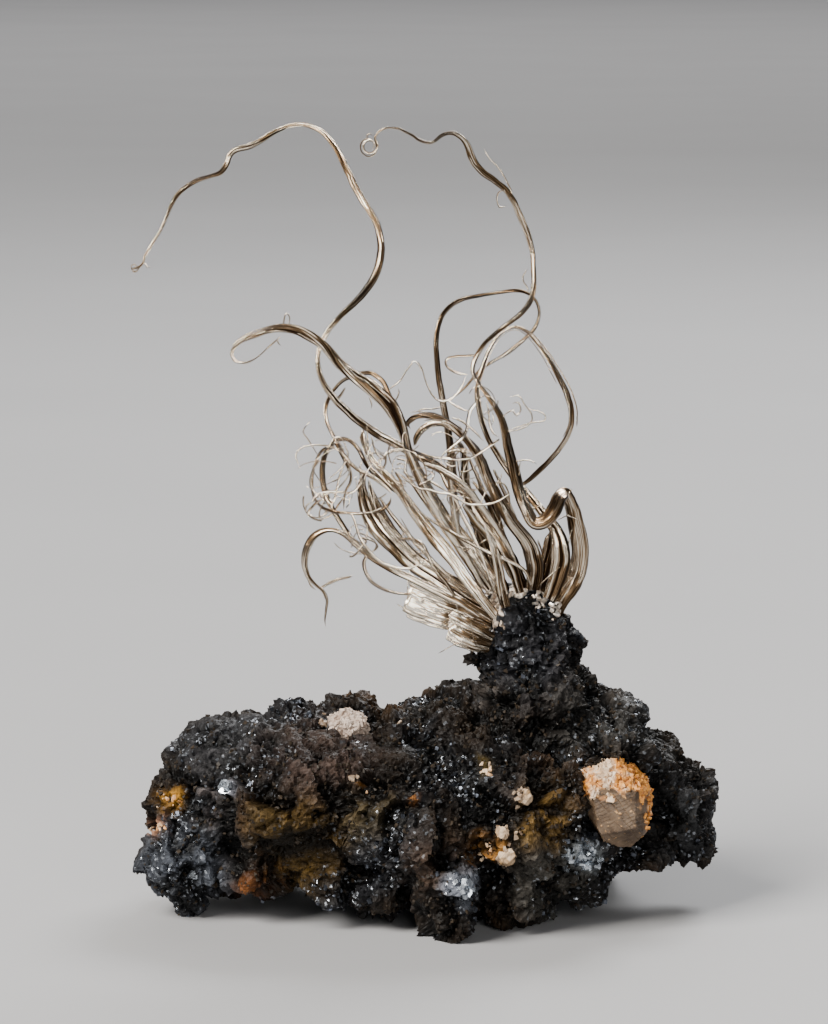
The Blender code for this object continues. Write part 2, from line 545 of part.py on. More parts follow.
def pit_depth(point):
    depth = 0.0
    for column, row, behind, reach, deep in ROCK_PITS.values():
        away = (point - spot(column, row, behind)).length / (reach * MM)
        depth += deep * MM * max(0.0, 1 - away * away) ** 2
    return depth


def lump_cluster(collection):
    """Every rock lump as an ellipsoid, all in one mesh."""
    cluster = bmesh.new()
    for column, row, depth, half_x, half_y, half_z in ROCK_LUMPS.values():
        ball = bmesh.ops.create_icosphere(cluster, subdivisions=3, radius=1.0)
        bmesh.ops.scale(cluster, vec=Vector((half_x, half_y, half_z)) * MM, verts=ball["verts"])
        bmesh.ops.translate(cluster, vec=spot(column, row, depth), verts=ball["verts"])
    mesh = bpy.data.meshes.new("lump_cluster")
    cluster.to_mesh(mesh)
    cluster.free()
    return add_object("ore_rock", mesh, collection)


def cut_flat_feet(mesh):
    """Takes off what lies under the surface that the rock stands on, and closes the cuts."""
    work = bmesh.new()
    work.from_mesh(mesh)
    everything = work.verts[:] + work.edges[:] + work.faces[:]
    cut = bmesh.ops.bisect_plane(
        work, geom=everything, dist=1e-6, plane_co=(0, 0, 0), plane_no=(0, 0, 1), clear_inner=True
    )
    rims = [item for item in cut["geom_cut"] if isinstance(item, bmesh.types.BMEdge)]
    bmesh.ops.holes_fill(work, edges=rims, sides=0)
    bmesh.ops.triangulate(work, faces=work.faces[:])
    work.to_mesh(mesh)
    work.free()


def make_rock(collection, material):
    rock = lump_cluster(collection)
    remesh = rock.modifiers.new("join_lumps", "REMESH")
    remesh.mode = "VOXEL"
    remesh.voxel_size = ROCK_VOXEL
    smooth = rock.modifiers.new("blend_lumps", "SMOOTH")
    smooth.factor = 0.5
    smooth.iterations = 5
    baked(rock)
    places = [Vector(p) for p in points_of(rock.data)]
    push_out(rock.data, np.array([rock_relief(p) - pit_depth(p) for p in places]))
    thin = rock.modifiers.new("facets", "DECIMATE")
    thin.ratio = ROCK_TRIANGLES / (2 * len(rock.data.polygons))
    baked(rock)
    cut_flat_feet(rock.data)
    rock.data.materials.append(material)
    return rock


def make_clearance(rock, collection):
    """The rock grown by the clearance, as one clean skin: what sits on the rock is cut back with it."""
    mesh = rock.data.copy()
    push_out(mesh, np.full(len(mesh.vertices), CLEARANCE))
    cutter = add_object("rock_clearance", mesh, collection)
    remesh = cutter.modifiers.new("one_skin", "REMESH")
    remesh.mode = "VOXEL"
    remesh.voxel_size = CLEARANCE_VOXEL
    thin = cutter.modifiers.new("fewer_faces", "DECIMATE")
    thin.ratio = CLEARANCE_SHARE
    baked(cutter)
    cutter.hide_render = True
    cutter.display_type = "WIRE"
    return cutter


def cut_back(obj, cutter):
    cut = obj.modifiers.new("meets_rock", "BOOLEAN")
    cut.operation = "DIFFERENCE"
    cut.object = cutter
    return obj


def fanned(column, row, depth):
    """The place of a silver station, with its depth widened away from the neck."""
    away = math.dist((column, row), (NECK_COLUMN, NECK_ROW)) / 100
    return spot(column, row, depth * (1 + FAN_RATE * away))


def oval_profile(flat, sides, collection):
    """A closed oval one metre wide, clockwise so that the bevel made with it faces outwards."""
    curve = bpy.data.curves.new("oval_profile", "CURVE")
    spline = curve.splines.new("POLY")
    spline.points.add(sides - 1)
    spline.use_cyclic_u = True
    for number, point in enumerate(spline.points):
        turn = -(number + 0.5) * math.tau / sides
        point.co = (math.cos(turn) / 2, flat * math.sin(turn) / 2, 0, 1)
    profile = add_object("oval_profile", curve, collection)
    profile.hide_render = True
    profile.display_type = "WIRE"
    return profile


def strand_curve(name, strand, collection, guides):
    """A curve whose own Z axis faces the view, so that each section lies with its width across it."""
    curve = bpy.data.curves.new(name, "CURVE")
    curve.dimensions = "3D"
    curve.twist_mode = "Z_UP"
    curve.bevel_mode = "OBJECT"
    curve.bevel_object = oval_profile(strand["flat"], strand["sides"], guides)
    curve.use_fill_caps = True
    obj = add_object(name, curve, collection)
    obj.rotation_euler.x = math.pi / 2 - VIEW_ELEVATION
    to_local = obj.rotation_euler.to_matrix().inverted()
    spline = curve.splines.new("POLY")
    spline.points.add(len(strand["route"]) - 1)
    for point, (column, row, depth, width) in zip(spline.points, strand["route"]):
        point.co = (*(to_local @ fanned(column, row, depth)), 1)
        point.radius = width * MM
    return obj


def curve_to_mesh(obj, collection):
    """Replaces a curve with its welded mesh."""
    bpy.context.view_layer.update()
    mesh = mesh_of(obj)
    weld = bmesh.new()
    weld.from_mesh(mesh)
    bmesh.ops.remove_doubles(weld, verts=weld.verts[:], dist=1e-6)
    bmesh.ops.recalc_face_normals(weld, faces=weld.faces[:])
    weld.to_mesh(mesh)
    weld.free()
    name, place = obj.name, obj.matrix_world.copy()
    bpy.data.objects.remove(obj, do_unlink=True)
    solid = add_object(name, mesh, collection)
    solid.matrix_world = place
    return solid


def make_strand(name, strand, collection, material, cutter, guides):
    strand_object = strand_curve(name, strand, collection, guides)
    root_row = strand["route"][0][1]
    if root_row > ROOTED_BELOW_ROW:
        strand_object = curve_to_mesh(strand_object, collection)
        cut_back(strand_object, cutter)
    strand_object.data.materials.append(material)


def even_planes(count, seed):
    """Planes that lie all round a block at uneven distances, each as its direction and distance."""
    planes = []
    for number in range(count):
        height = 1 - 2 * (number + 0.5) / count
        turn = number * GOLDEN_ANGLE + seed
        level = math.sqrt(1 - height * height)
        outward = Vector((level * math.cos(turn), level * math.sin(turn), height))
        planes.append((outward, 0.86 + 0.16 * noise.noise(outward * 3 + Vector((seed, 0, 0)))))
    return planes


def crystal_block(name, place, half, planes, collection, material):
    """A block with flat crystal faces: a cube cut by planes."""
    block = bmesh.new()
    bmesh.ops.create_cube(block, size=2.0)
    for outward, reach in planes:
        everything = block.verts[:] + block.edges[:] + block.faces[:]
        cut = bmesh.ops.bisect_plane(
            block, geom=everything, dist=1e-5, plane_co=outward * reach, plane_no=outward, clear_outer=True
        )
        rim = [item for item in cut["geom_cut"] if isinstance(item, bmesh.types.BMEdge)]
        bmesh.ops.holes_fill(block, edges=rim, sides=0)
    bmesh.ops.scale(block, vec=Vector(half) * MM, verts=block.verts[:])
    bmesh.ops.translate(block, vec=spot(*place), verts=block.verts[:])
    bmesh.ops.triangulate(block, faces=block.faces[:])
    mesh = bpy.data.meshes.new(name)
    block.to_mesh(mesh)
    block.free()
    return add_object(name, mesh, collection, material)


def rough_lump(name, place, half, detail, cell, tilt, collection, material):
    """A closed lump with tilted crystal faces, about a place on the rock."""
    lump = bmesh.new()
    bmesh.ops.create_icosphere(lump, subdivisions=detail, radius=1.0)
    centre = spot(*place)
    for vert in lump.verts:
        direction = vert.co.normalized()
        size = 1 + facet_height(direction + centre * 300, cell, tilt) + 0.08 * noise.noise(direction * 2)
        vert.co = centre + Vector(h * MM * c * size for h, c in zip(half, direction))
    mesh = bpy.data.meshes.new(name)
    lump.to_mesh(mesh)
    lump.free()
    return add_object(name, mesh, collection, material)


def build():
    clear_scene()
    specimen = new_collection("native_silver_specimen")
    cutters = new_collection("cutters")
    ore, calcite, quartz, silver = (finish(name) for name in FINISHES)
    rock = make_rock(specimen, ore)
    cutter = make_clearance(rock, cutters)
    for name, strand in STRANDS.items():
        make_strand(name, strand, specimen, silver, cutter, cutters)
    faces = [(Vector(face[:3]).normalized(), face[3]) for face in CALCITE_FACES.values()]
    crystal = crystal_block("calcite_crystal", CALCITE_PLACE, CALCITE_HALF, faces, specimen, calcite)
    cut_back(crystal, cutter)
    crust = rough_lump("quartz_crust", QUARTZ_PLACE, QUARTZ_HALF, 2, 0.5, 0.4, specimen, quartz)
    cut_back(crust, cutter)
    for name, (place, radius) in GRAINS.items():
        grain = crystal_block(name, place, (radius,) * 3, even_planes(10, radius), specimen, quartz)
        cut_back(grain, cutter)


build()
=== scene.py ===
"""Dresses the native silver specimen: striated silver on a dark, sparkling ore rock.

Places are read in the front view as (column, row, depth), as the solids' own source does: a pixel of an
828 x 1024 view and millimetres behind the middle plane. spot() turns them into metres.
"""
import math
import random
from collections import namedtuple

import bmesh
import bpy
import numpy as np
from mathutils import Matrix, Vector, noise


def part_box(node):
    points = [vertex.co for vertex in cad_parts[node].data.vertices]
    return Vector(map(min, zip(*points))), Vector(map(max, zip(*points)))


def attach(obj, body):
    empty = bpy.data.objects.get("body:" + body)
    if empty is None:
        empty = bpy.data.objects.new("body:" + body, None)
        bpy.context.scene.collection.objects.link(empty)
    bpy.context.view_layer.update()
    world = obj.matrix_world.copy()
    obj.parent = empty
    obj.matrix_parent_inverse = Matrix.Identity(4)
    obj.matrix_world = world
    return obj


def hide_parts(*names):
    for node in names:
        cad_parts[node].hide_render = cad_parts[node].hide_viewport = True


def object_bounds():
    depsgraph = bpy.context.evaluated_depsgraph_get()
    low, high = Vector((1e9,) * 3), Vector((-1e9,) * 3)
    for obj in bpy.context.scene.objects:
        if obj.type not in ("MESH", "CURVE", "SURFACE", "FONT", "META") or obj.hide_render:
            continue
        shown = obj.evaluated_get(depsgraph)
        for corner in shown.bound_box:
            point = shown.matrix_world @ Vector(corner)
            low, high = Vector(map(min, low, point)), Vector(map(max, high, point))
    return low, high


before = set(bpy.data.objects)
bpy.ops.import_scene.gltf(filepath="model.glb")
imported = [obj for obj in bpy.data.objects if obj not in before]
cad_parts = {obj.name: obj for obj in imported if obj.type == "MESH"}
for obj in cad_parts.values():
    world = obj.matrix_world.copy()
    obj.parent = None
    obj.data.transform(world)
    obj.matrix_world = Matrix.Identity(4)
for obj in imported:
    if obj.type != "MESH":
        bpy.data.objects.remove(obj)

CAD_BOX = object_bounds()
MM = 0.001

# The front view: its frame in pixels, and where it is seen from
ROCK_WIDTH = 0.098
FRAME_COLUMNS, FRAME_ROWS = 828, 1024
ROCK_COLUMNS = 576
PIXEL = ROCK_WIDTH / ROCK_COLUMNS
VIEW_DISTANCE = 0.8
VIEW_ELEVATION = math.radians(8)
VIEW_TARGET = Vector((-0.0025, -0.0019, 0.0686))
SLOPE = PIXEL / VIEW_DISTANCE
AHEAD = Vector((0, math.cos(VIEW_ELEVATION), -math.sin(VIEW_ELEVATION)))
ABOVE = Vector((0, math.sin(VIEW_ELEVATION), math.cos(VIEW_ELEVATION)))
EYE = VIEW_TARGET - VIEW_DISTANCE * AHEAD
SENSOR = 36.0  # millimetres along the frame's longer side

# How the silver spreads from the neck
NECK_COLUMN, NECK_ROW = 525, 600
FAN_RATE = 0.35

# Silver where it is clean, where it is dull, and where it is tarnished; the darkest also serves as painted
# shade in the grooves
SILVER_PALE = (0.99, 0.90, 0.75, 1)
SILVER_TAN = (0.25, 0.160, 0.085, 1)
SILVER_BROWN = (0.013, 0.007, 0.0035, 1)

# Rock lumps: (column, row, depth, then the half sizes in X, Y and Z in millimetres)
ROCK_LUMPS = {
    "left_mass": (222, 797, 2, 11, 18, 12.5),
    "left_knob": (219, 748, 2, 6.0, 10, 5),
    "left_shoulder": (182, 800, -2, 5.2, 10, 7),
    "left_foot": (182, 862, -8, 6.5, 8, 6.5),
    "left_foot_toe": (190, 896, -7, 3.6, 4.5, 3.6),
    "left_foot_back": (205, 850, 6, 7, 9, 7),
    "middle_left": (300, 790, -4, 16, 22, 12.5),
    "top_ridge_a": (263, 740, 2, 5.5, 10, 4.2),
    "top_ridge_b": (297, 721, 4, 4.6, 8, 4),
    "top_ridge_c": (350, 722, 4, 6, 9, 4.2),
    "lower_left": (258, 862, -6, 6, 12, 5.4),
    "lower_middle": (332, 865, -8, 7, 12, 5.6),
    "lower_step": (385, 880, -10, 7, 11, 4.8),
    "middle": (400, 795, -4, 15, 24, 13),
    "front_knee": (425, 838, -22, 8.6, 8, 8.5),
    "front_leg": (440, 878, -23, 6, 7, 8.2),
    "front_toe": (450, 916, -25, 4.2, 5.2, 4.6),
    "middle_right": (500, 802, -3, 16, 26, 14.5),
    "belly_right": (515, 880, -12, 10, 12, 6.8),
    "belly_far_right": (574, 868, -10, 6.6, 10, 6),
    "right_mass": (590, 795, 2, 13, 22, 12),
    "saddle": (448, 722, 2, 7.5, 14, 5.4),
    "saddle_left": (410, 742, 2, 6.5, 13, 4),
    "neck_base": (540, 712, 1, 11.6, 14, 11),
    "neck": (531, 660, 0, 6.9, 8.2, 8.5),
    "neck_top": (524, 613, 0, 5.8, 7.2, 4.6),
    "neck_left_bulge": (480, 659, -2, 2.4, 3.6, 2.2),
    "neck_right_flap": (569, 645, 2, 2.7, 3.6, 4.4),
    "right_slope": (594, 729, 3, 9.2, 16, 6.8),
    "right_shoulder": (634, 774, 3, 8.0, 15, 7.8),
    "crystal_brow": (612, 752, -13, 6.5, 6, 3.4),
    "crystal_left_ridge": (569, 806, -19, 3.4, 5, 7),
    "crystal_sill": (640, 854, -11, 5.5, 6, 2.6),
    "right_wing": (678, 808, 2, 5.6, 12, 7.4),
    "right_wing_low": (685, 842, 1, 4.6, 9, 3.2),
    "right_wing_tip": (699, 784, 1, 2, 5, 2.6),
    "back_left": (285, 785, 20, 13, 12, 11.5),
    "back_middle": (430, 775, 21, 17, 13, 13),
    "back_right": (575, 790, 19, 14, 13, 11.5),
    "back_left_leg": (270, 840, 24, 6.5, 6.5, 9.5),
    "back_right_leg": (590, 835, 23, 7, 7, 10),
}
# Hollows pressed into the rock, whose colour is also darkened inside them as painted shade: (column, row,
# depth, reach and depth in millimetres)
ROCK_PITS = {
    "crystal_socket": (618, 806, -20, 7.5, 3.0),
    "wing_shadow": (652, 806, -12, 6.5, 3.2),
    "middle_cave": (476, 806, -26, 6.5, 2.2),
    "under_ledge": (372, 776, -24, 6.0, 1.8),
    "left_notch": (228, 866, -16, 5.5, 2.4),
    "knee_hollow": (488, 868, -24, 5.0, 2.2),
    "quartz_seat": (346, 726, -14, 4.5, 1.4),
    "neck_crack": (505, 700, -12, 4.5, 1.6),
}
FACETS = ((0.0078, 0.34), (0.0036, 0.30))  # Voronoi cell size in metres, and tilt of its face
SWELL_SIZE, SWELL_HEIGHT = 0.011, 0.0011
FINE_VOXEL = 0.00053
FINE_FACETS = ((0.0021, 0.42), (0.0011, 0.34))
CRACKS = ((0.0046, 0.0007, 0.14), (0.0019, 0.0003, 0.16))  # cell size, depth, share of the cell
CRUMBLE_SIZE, CRUMBLE_HEIGHT = 0.0016, 0.00016
PATCH_SIZE = 0.009

# Colours of the ore: black and brown in drifts, rust at the back, and the grey of its cleavage faces
ORE_BLACK, ORE_BROWN, ORE_RUST = (0.0065, 0.0067, 0.008), (0.018, 0.012, 0.0075), (0.10, 0.050, 0.016)
CLEAVAGE_GREY = (0.34, 0.365, 0.405, 1)
# Its zones in the view: (column, row), radius in pixels, colour, strength, and how much they sparkle
ORE_ZONES = {
    "left_foot_galena": ((186, 868), 46, (0.12, 0.135, 0.165), 0.85, 0.8),
    "ochre_edge": ((170, 801), 11, (0.62, 0.30, 0.04), 0.98, 0.0),
    "pink_edge": ((157, 826), 10, (0.50, 0.25, 0.14), 0.9, 0.0),
    "pale_vein_top": ((208, 790), 8, (0.26, 0.22, 0.21), 0.8, 0.1),
    "pale_vein_low": ((206, 815), 9, (0.22, 0.19, 0.19), 0.7, 0.1),
    "bright_speck": ((226, 788), 9, (0.30, 0.31, 0.36), 0.9, 1.0),
    "top_left_lumps": ((222, 742), 48, (0.042, 0.043, 0.048), 0.7, 0.5),
    "purple_brown_crust": ((320, 770), 56, (0.070, 0.046, 0.037), 0.7, 0.1),
    "rust_low_left": ((256, 880), 20, (0.27, 0.095, 0.025), 0.8, 0.05),
    "olive_left": ((300, 842), 42, (0.155, 0.090, 0.020), 0.8, 0.1),
    "olive_high": ((262, 814), 18, (0.13, 0.085, 0.030), 0.45, 0.1),
    "olive_middle": ((366, 820), 28, (0.155, 0.115, 0.052), 0.65, 0.1),
    "black_blocks": ((382, 852), 38, (0.020, 0.021, 0.025), 0.85, 0.8),
    "knee_brown": ((438, 872), 34, (0.072, 0.046, 0.032), 0.7, 0.2),
    "knee_blue_facet": ((462, 884), 18, (0.17, 0.19, 0.23), 0.85, 0.9),
    "orange_spot_left": ((362, 787), 4, (0.60, 0.26, 0.05), 0.95, 0.0),
    "orange_spot_middle": ((418, 796), 4, (0.42, 0.17, 0.05), 0.8, 0.0),
    "orange_spot_low": ((484, 856), 9, (0.50, 0.20, 0.035), 0.9, 0.0),
    "yellow_spot": ((486, 768), 8, (0.55, 0.36, 0.06), 0.95, 0.0),
    "neck_black": ((532, 655), 56, (0.030, 0.031, 0.037), 0.75, 0.4),
    "middle_black": ((505, 776), 34, (0.024, 0.022, 0.022), 0.7, 0.2),
    "neck_blue_blade": ((580, 634), 13, (0.065, 0.078, 0.10), 0.8, 0.6),
    "neck_streaks": ((488, 694), 9, (0.22, 0.19, 0.17), 0.7, 0.1),
    "ochre_patch": ((545, 816), 28, (0.25, 0.145, 0.038), 0.9, 0.05),
    "ochre_patch_low": ((488, 846), 15, (0.42, 0.19, 0.04), 0.85, 0.0),
    "slope_grey": ((600, 720), 46, (0.066, 0.064, 0.060), 0.7, 0.4),
    "wing_grey": ((684, 812), 44, (0.060, 0.062, 0.066), 0.75, 0.4),
    "bright_facet": ((584, 858), 14, (0.62, 0.68, 0.72), 0.98, 1.0),
    "knob_grey": ((552, 886), 42, (0.105, 0.098, 0.085), 0.7, 0.4),
}
ZONE_SEED = 3  # fixes the zones' ragged edges

# Silver strands: how flat each is, and its route from root to tip as (column, row, depth, width), with
# depth and width in millimetres
STRANDS = {
    "right_high_tendril": (0.55, (
        (556, 616, 2, 1.9), (561, 603, 2, 2.4), (570, 589, 2.2, 2.9), (577, 573, 2.4, 3.1),
        (580, 556, 2.2, 3.1), (579, 538, 1.6, 3), (575, 520, 0.8, 2.8), (571, 505, -0.4, 2.4),
        (565, 494, -2.2, 2.2), (559, 498, -4.4, 2.4), (554, 510, -6, 2.6), (545, 521, -7, 2.5),
        (534, 522, -7, 2.3), (526, 509, -6.2, 2.2), (520, 494, -5.6, 2.2), (516, 479, -5.2, 2.2),
        (512, 463, -5, 2.1), (508, 447, -4.7, 1.9), (505, 432, -4.4, 1.7), (501, 418, -4, 1.5),
        (494, 405, -3.5, 1.35), (485, 392, -2.8, 1.05), (477, 381, -2.2, 1), (472.5, 371, -2, 1.1),
        (475, 359, -1.6, 1.35), (484, 345, -0.9, 1.45), (496, 333, 0, 1.5), (510, 322.5, 0.6, 1.5),
        (522, 312, 1.2, 1.5), (530.5, 299, 2.2, 1.3), (533.5, 283, 3, 1.15), (533, 266, 3.5, 1.1),
        (532, 250, 3.9, 1.1), (527, 233, 4.1, 1.3), (520, 216, 4.1, 1.3), (514, 202, 3.9, 1.15),
        (506, 190, 3.5, 1.15), (495, 181, 3.1, 1.15), (485, 174, 2.8, 1.25), (476, 165, 2.4, 1.3),
        (471, 155, 2, 1.3), (467, 145, 1.5, 1.1), (460, 136.5, 1, 0.8), (450, 133, 0.5, 0.7),
        (441, 136, 0, 0.65), (431, 143, -0.6, 0.55), (420, 140.5, -1.2, 0.5), (410, 134.5, -1.8, 0.45),
        (399, 129, -2.4, 0.42), (388, 128, -2.8, 0.4), (380, 131, -3, 0.38), (375.5, 137, -3.1, 0.38),
        (377, 147, -3.2, 0.4), (374, 154.5, -3.35, 0.42), (367.5, 156.5, -3.5, 0.42),
        (361.5, 151.5, -3.65, 0.4), (361, 143.5, -3.8, 0.4), (367, 138.5, -3.95, 0.36),
        (373, 140, -4.1, 0.3),
    )),
    "right_loop": (0.5, (
        (549, 599, -3.2, 2.4), (556, 581, -3.2, 2.9), (561, 562, -3.2, 3.2), (560, 545, -3, 3),
        (555, 529, -2.5, 2.2), (546, 517, -1.8, 1.7), (536, 504, -0.9, 1.5), (526, 492, 0, 1.35),
        (516, 480, 0.6, 1.3), (507, 468.5, 1, 1.2), (499, 457, 1, 1.15), (491.5, 445, 1, 1.1),
        (485.5, 432, 1, 1.1), (481, 418, 1, 1.15), (478.5, 405, 1, 1.15), (477, 393, 1.2, 1.1),
        (478.5, 381, 1.6, 1), (482, 369, 2, 1.05), (486, 357, 2.2, 1.1), (491.5, 345.5, 2.5, 1.05),
        (498.5, 336, 2.8, 0.95), (507, 329.5, 3, 0.85), (516, 327.5, 3, 0.8), (526, 331.5, 2.8, 0.9),
        (536, 341, 2.5, 1.05), (545.5, 354, 2, 1.15), (553.5, 367.5, 1.5, 1.2), (561.5, 382, 1, 1.25),
        (568, 396.5, 0.5, 1.2), (571.5, 411, 0.1, 1.1), (571, 425.5, 0.1, 1), (566, 439, 0.5, 0.95),
        (557, 452, 1.1, 0.9), (547, 463, 2, 0.9), (536.5, 473, 3, 0.95), (528, 480.5, 4, 0.8),
        (522, 485, 4.6, 0.7), (515.5, 489.5, 5.2, 0.6),
    )),
    "brown_loop": (0.6, (
        (509, 596, 4.4, 1.4), (496, 582, 5.2, 1.35), (481, 566, 6, 1.3), (469, 551, 6.5, 1.3),
        (460, 535, 6.5, 1.25), (455, 518, 6, 1.2), (453, 500, 5.5, 1.2), (452, 482, 5, 1.2),
        (451, 464, 4.5, 1.25), (450, 447, 4, 1.3), (448, 430, 3.5, 1.3), (445, 413, 3.1, 1.25),
        (442, 396, 3, 1.2), (439, 379, 3, 1.15), (437, 361, 3, 1.1), (436, 343, 3.1, 1.05),
        (438, 327, 3.6, 1), (443.5, 314, 4.1, 1), (452.5, 304.5, 4.7, 1.05), (464, 299, 5.2, 1),
        (477, 296, 5.6, 0.95), (490, 294, 5.9, 0.95), (503, 292, 6, 1), (516, 290.5, 6, 1.1),
        (527, 293, 6, 1), (535, 300, 6, 0.85), (539, 310, 6, 0.8), (538, 321, 6, 0.75),
        (532, 331.5, 6, 0.75), (523, 340, 6, 0.7), (512, 349, 5.8, 0.7), (500, 357, 5.4, 0.6),
        (490, 363, 5, 0.6), (481, 369, 4.8, 0.55), (473, 378, 4.5, 0.5), (465, 387.5, 4.2, 0.45),
        (456, 395, 4, 0.4), (449, 399, 3.9, 0.3),
    )),
    "left_high_tendril": (0.6, (
        (520, 592, -4.4, 1.5), (513, 570, -5.4, 1.8), (503, 552, -5.5, 2), (492, 536, -5, 1.9),
        (481, 521, -4.5, 1.8), (472, 506, -4, 1.6), (463, 491.5, -3.2, 1.5), (452, 479, -2.2, 1.8),
        (440, 468.5, -0.8, 1.8), (425, 459, 0.8, 1.7), (410, 452, 1.9, 1.6), (396, 444.5, 2, 1.7),
        (380, 436, 1.6, 1.75), (364, 425.5, 1.1, 1.7), (348, 413, 0.7, 1.6), (335, 400, 0.5, 1.55),
        (325, 386.5, 0.5, 1.3), (319, 372, 0.6, 1.15), (317.5, 357.5, 0.9, 1), (321, 343, 1.2, 1.1),
        (329, 329, 1.6, 1.15), (341, 315.5, 2.2, 1.2), (354, 303, 3, 1.3), (366, 290, 3.9, 1.45),
        (375, 276, 4.6, 1.45), (380, 260, 5.1, 1.4), (381, 244, 5.6, 1.25), (378, 228, 6, 1.2),
        (371, 213, 6.4, 1.2), (362, 199, 6.9, 1.25), (354, 185, 7.4, 1.3), (347, 170, 7.9, 1.25),
        (339, 154, 8.3, 1.2), (330, 140.5, 8.6, 1.1), (320, 131, 8.8, 1), (308, 126, 9, 0.95),
        (296, 125, 9, 0.9), (284, 128, 8.9, 0.9), (272, 134, 8.8, 1), (260, 141.5, 8.6, 1),
        (248, 146.5, 8.3, 1.1), (236, 150, 8, 1), (229.5, 156, 7.8, 0.95), (226.5, 165, 7.6, 0.95),
        (220, 173, 7.3, 0.9), (210, 176.5, 7, 0.7), (199, 180, 6.7, 0.85), (188, 186, 6.4, 0.9),
        (178, 195, 6.1, 0.9), (171, 206, 5.7, 0.65), (166, 218, 5.3, 0.45), (160, 231, 4.9, 0.38),
        (152, 244, 4.5, 0.34), (145.5, 255, 4.2, 0.3), (142.5, 264, 4, 0.28), (136, 268, 3.8, 0.36),
        (131, 269.5, 3.6, 0.3),
    )),
    "left_curl": (0.52, (
        (496, 594, 2.6, 2.2), (484, 577, 2.5, 2.5), (471, 559, 2.3, 2.8), (459, 541, 2.2, 2.9),
        (447, 524, 2, 3), (437, 508, 1.5, 3), (428, 491, 0.8, 3), (420, 476, -0.2, 2.9),
        (413, 462, -1.2, 2.6), (408, 448, -2.2, 2.1), (403.5, 434, -2.8, 2.3), (398, 420, -3.1, 2.45),
        (390.5, 406.5, -3.2, 2.7), (380, 395, -3.2, 2.7), (367, 385, -3.1, 2.7), (354, 376, -3, 2.55),
        (342, 366.5, -3, 2.4), (332.5, 356, -3, 2.2), (323, 345.5, -3.1, 1.95), (311, 336.5, -3.3, 1.85),
        (297, 330, -3.6, 1.7), (282, 328, -4, 1.5), (268, 330.5, -4.2, 1.35), (254, 335.5, -4.3, 1.2),
        (242, 341, -4.3, 0.85), (234, 348, -4.3, 0.7), (232, 355, -4.4, 0.6), (236, 361, -4.7, 0.5),
        (245, 362.5, -5.1, 0.42), (254, 359.5, -5.6, 0.36), (262, 353, -6, 0.32), (271, 345, -6.3, 0.3),
        (280, 337, -6.5, 0.26),
    )),
    "small_hook": (0.8, (
        (476, 355.5, 0.3, 0.42), (466, 356, 0.4, 0.45), (455, 356.5, 0.5, 0.45), (447.5, 358.5, 0.5, 0.45),
        (445.5, 363.5, 0.5, 0.42), (450, 369.5, 0.5, 0.45), (459, 373.5, 0.4, 0.45),
        (468, 374.5, 0.2, 0.4),
    )),
    "central_arch": (0.55, (
        (533, 588, -3, 2.5), (535, 570, -4, 2.9), (532, 553, -5, 2.8), (526, 540, -5.8, 2.5),
        (516, 528, -6.2, 2.3), (507, 515, -6.3, 2.2), (499, 501, -6.1, 2.2), (492, 487, -5.7, 2.1),
        (486, 474, -5.4, 2.1), (481, 461, -5.1, 2.1), (474, 449, -4.9, 2.1), (464.5, 438, -4.6, 1.9),
        (454.5, 429, -4.3, 2.1), (444, 423.5, -4.1, 2), (433, 423.5, -4, 1.8), (424, 428, -4, 1.55),
        (417.5, 435.5, -4, 1.3), (413.5, 446, -4.1, 0.9),
    )),
    "rough_arch": (0.65, (
        (460, 432, -2.6, 1), (447, 422, -2.3, 1.2), (435, 416.5, -2.1, 1.35), (423, 415, -2, 1.35),
        (413.5, 418, -1.9, 1.2), (408, 424, -1.7, 0.8), (410.5, 429, -1.6, 0.4),
    )),
    "rough_blade": (0.5, (
        (505, 592, 0.4, 1.7), (497, 571, 0.4, 1.9), (490, 553, 0.4, 2.1), (482, 536, 0.4, 2.3),
        (475, 519, 0.4, 2.2), (469.5, 501, 0.4, 2), (466.5, 483, 0.2, 2), (465, 466, -0.1, 2),
        (463, 451, -0.6, 1.8), (457, 441, -1.2, 1.3),
    )),
    "front_blade": (0.5, (
        (495, 616, -5.4, 1.7), (481, 598, -5.6, 2), (468, 581, -5.3, 2.1), (457, 565, -4.9, 2.2),
        (446, 551, -4.5, 2.4), (434, 537, -4, 2.5), (423, 523, -3.5, 2.4), (413, 509.5, -3, 2.2),
        (404.5, 497, -2.5, 2), (397, 487, -2.1, 2), (388, 478, -1.7, 1.9), (378.5, 468.5, -1.2, 1.7),
        (370.5, 458, -0.8, 1.4), (365, 446, -0.5, 1.2), (363, 436, -0.3, 1.2), (364, 429, -0.2, 0.8),
    )),
    "inner_blade": (0.5, (
        (502, 598, -2, 1.8), (492, 578, -2, 2.1), (482, 563, -1.9, 2.2), (472, 549, -1.7, 2.2),
        (463, 537, -1.5, 2), (455, 526, -1.4, 1.6), (447, 514, -1.2, 0.9),
    )),
    "left_blade": (0.42, (
        (486, 610, -1, 2.2), (467, 598, -1.2, 2.6), (451, 588, -1.4, 2.7), (436, 578.5, -1.5, 2.7),
        (421, 569, -1.5, 2.8), (408, 559, -1.5, 2.9), (397, 548, -1.5, 3.1), (386, 537, -1.5, 3.4),
        (376, 525, -1.4, 3.4), (368.5, 512, -1.2, 3), (364, 499, -1, 2.4), (362, 487, -0.9, 1.8),
        (363, 477, -0.8, 1.3), (366.5, 471, -0.7, 0.7),
    )),
    "back_left_blade": (0.5, (
        (489, 605, 1, 1.8), (470, 590, 1, 2), (453, 581, 1, 1.9), (436, 571, 1, 1.8), (420, 560, 1, 1.6),
        (407, 548, 1, 1.5), (396, 534, 1, 1.4), (386, 519, 1, 1.4), (377.5, 504, 1, 1.3),
        (371.5, 491, 1, 1.2), (368, 480, 1, 0.8),
    )),
    "broad_sheet": (0.17, (
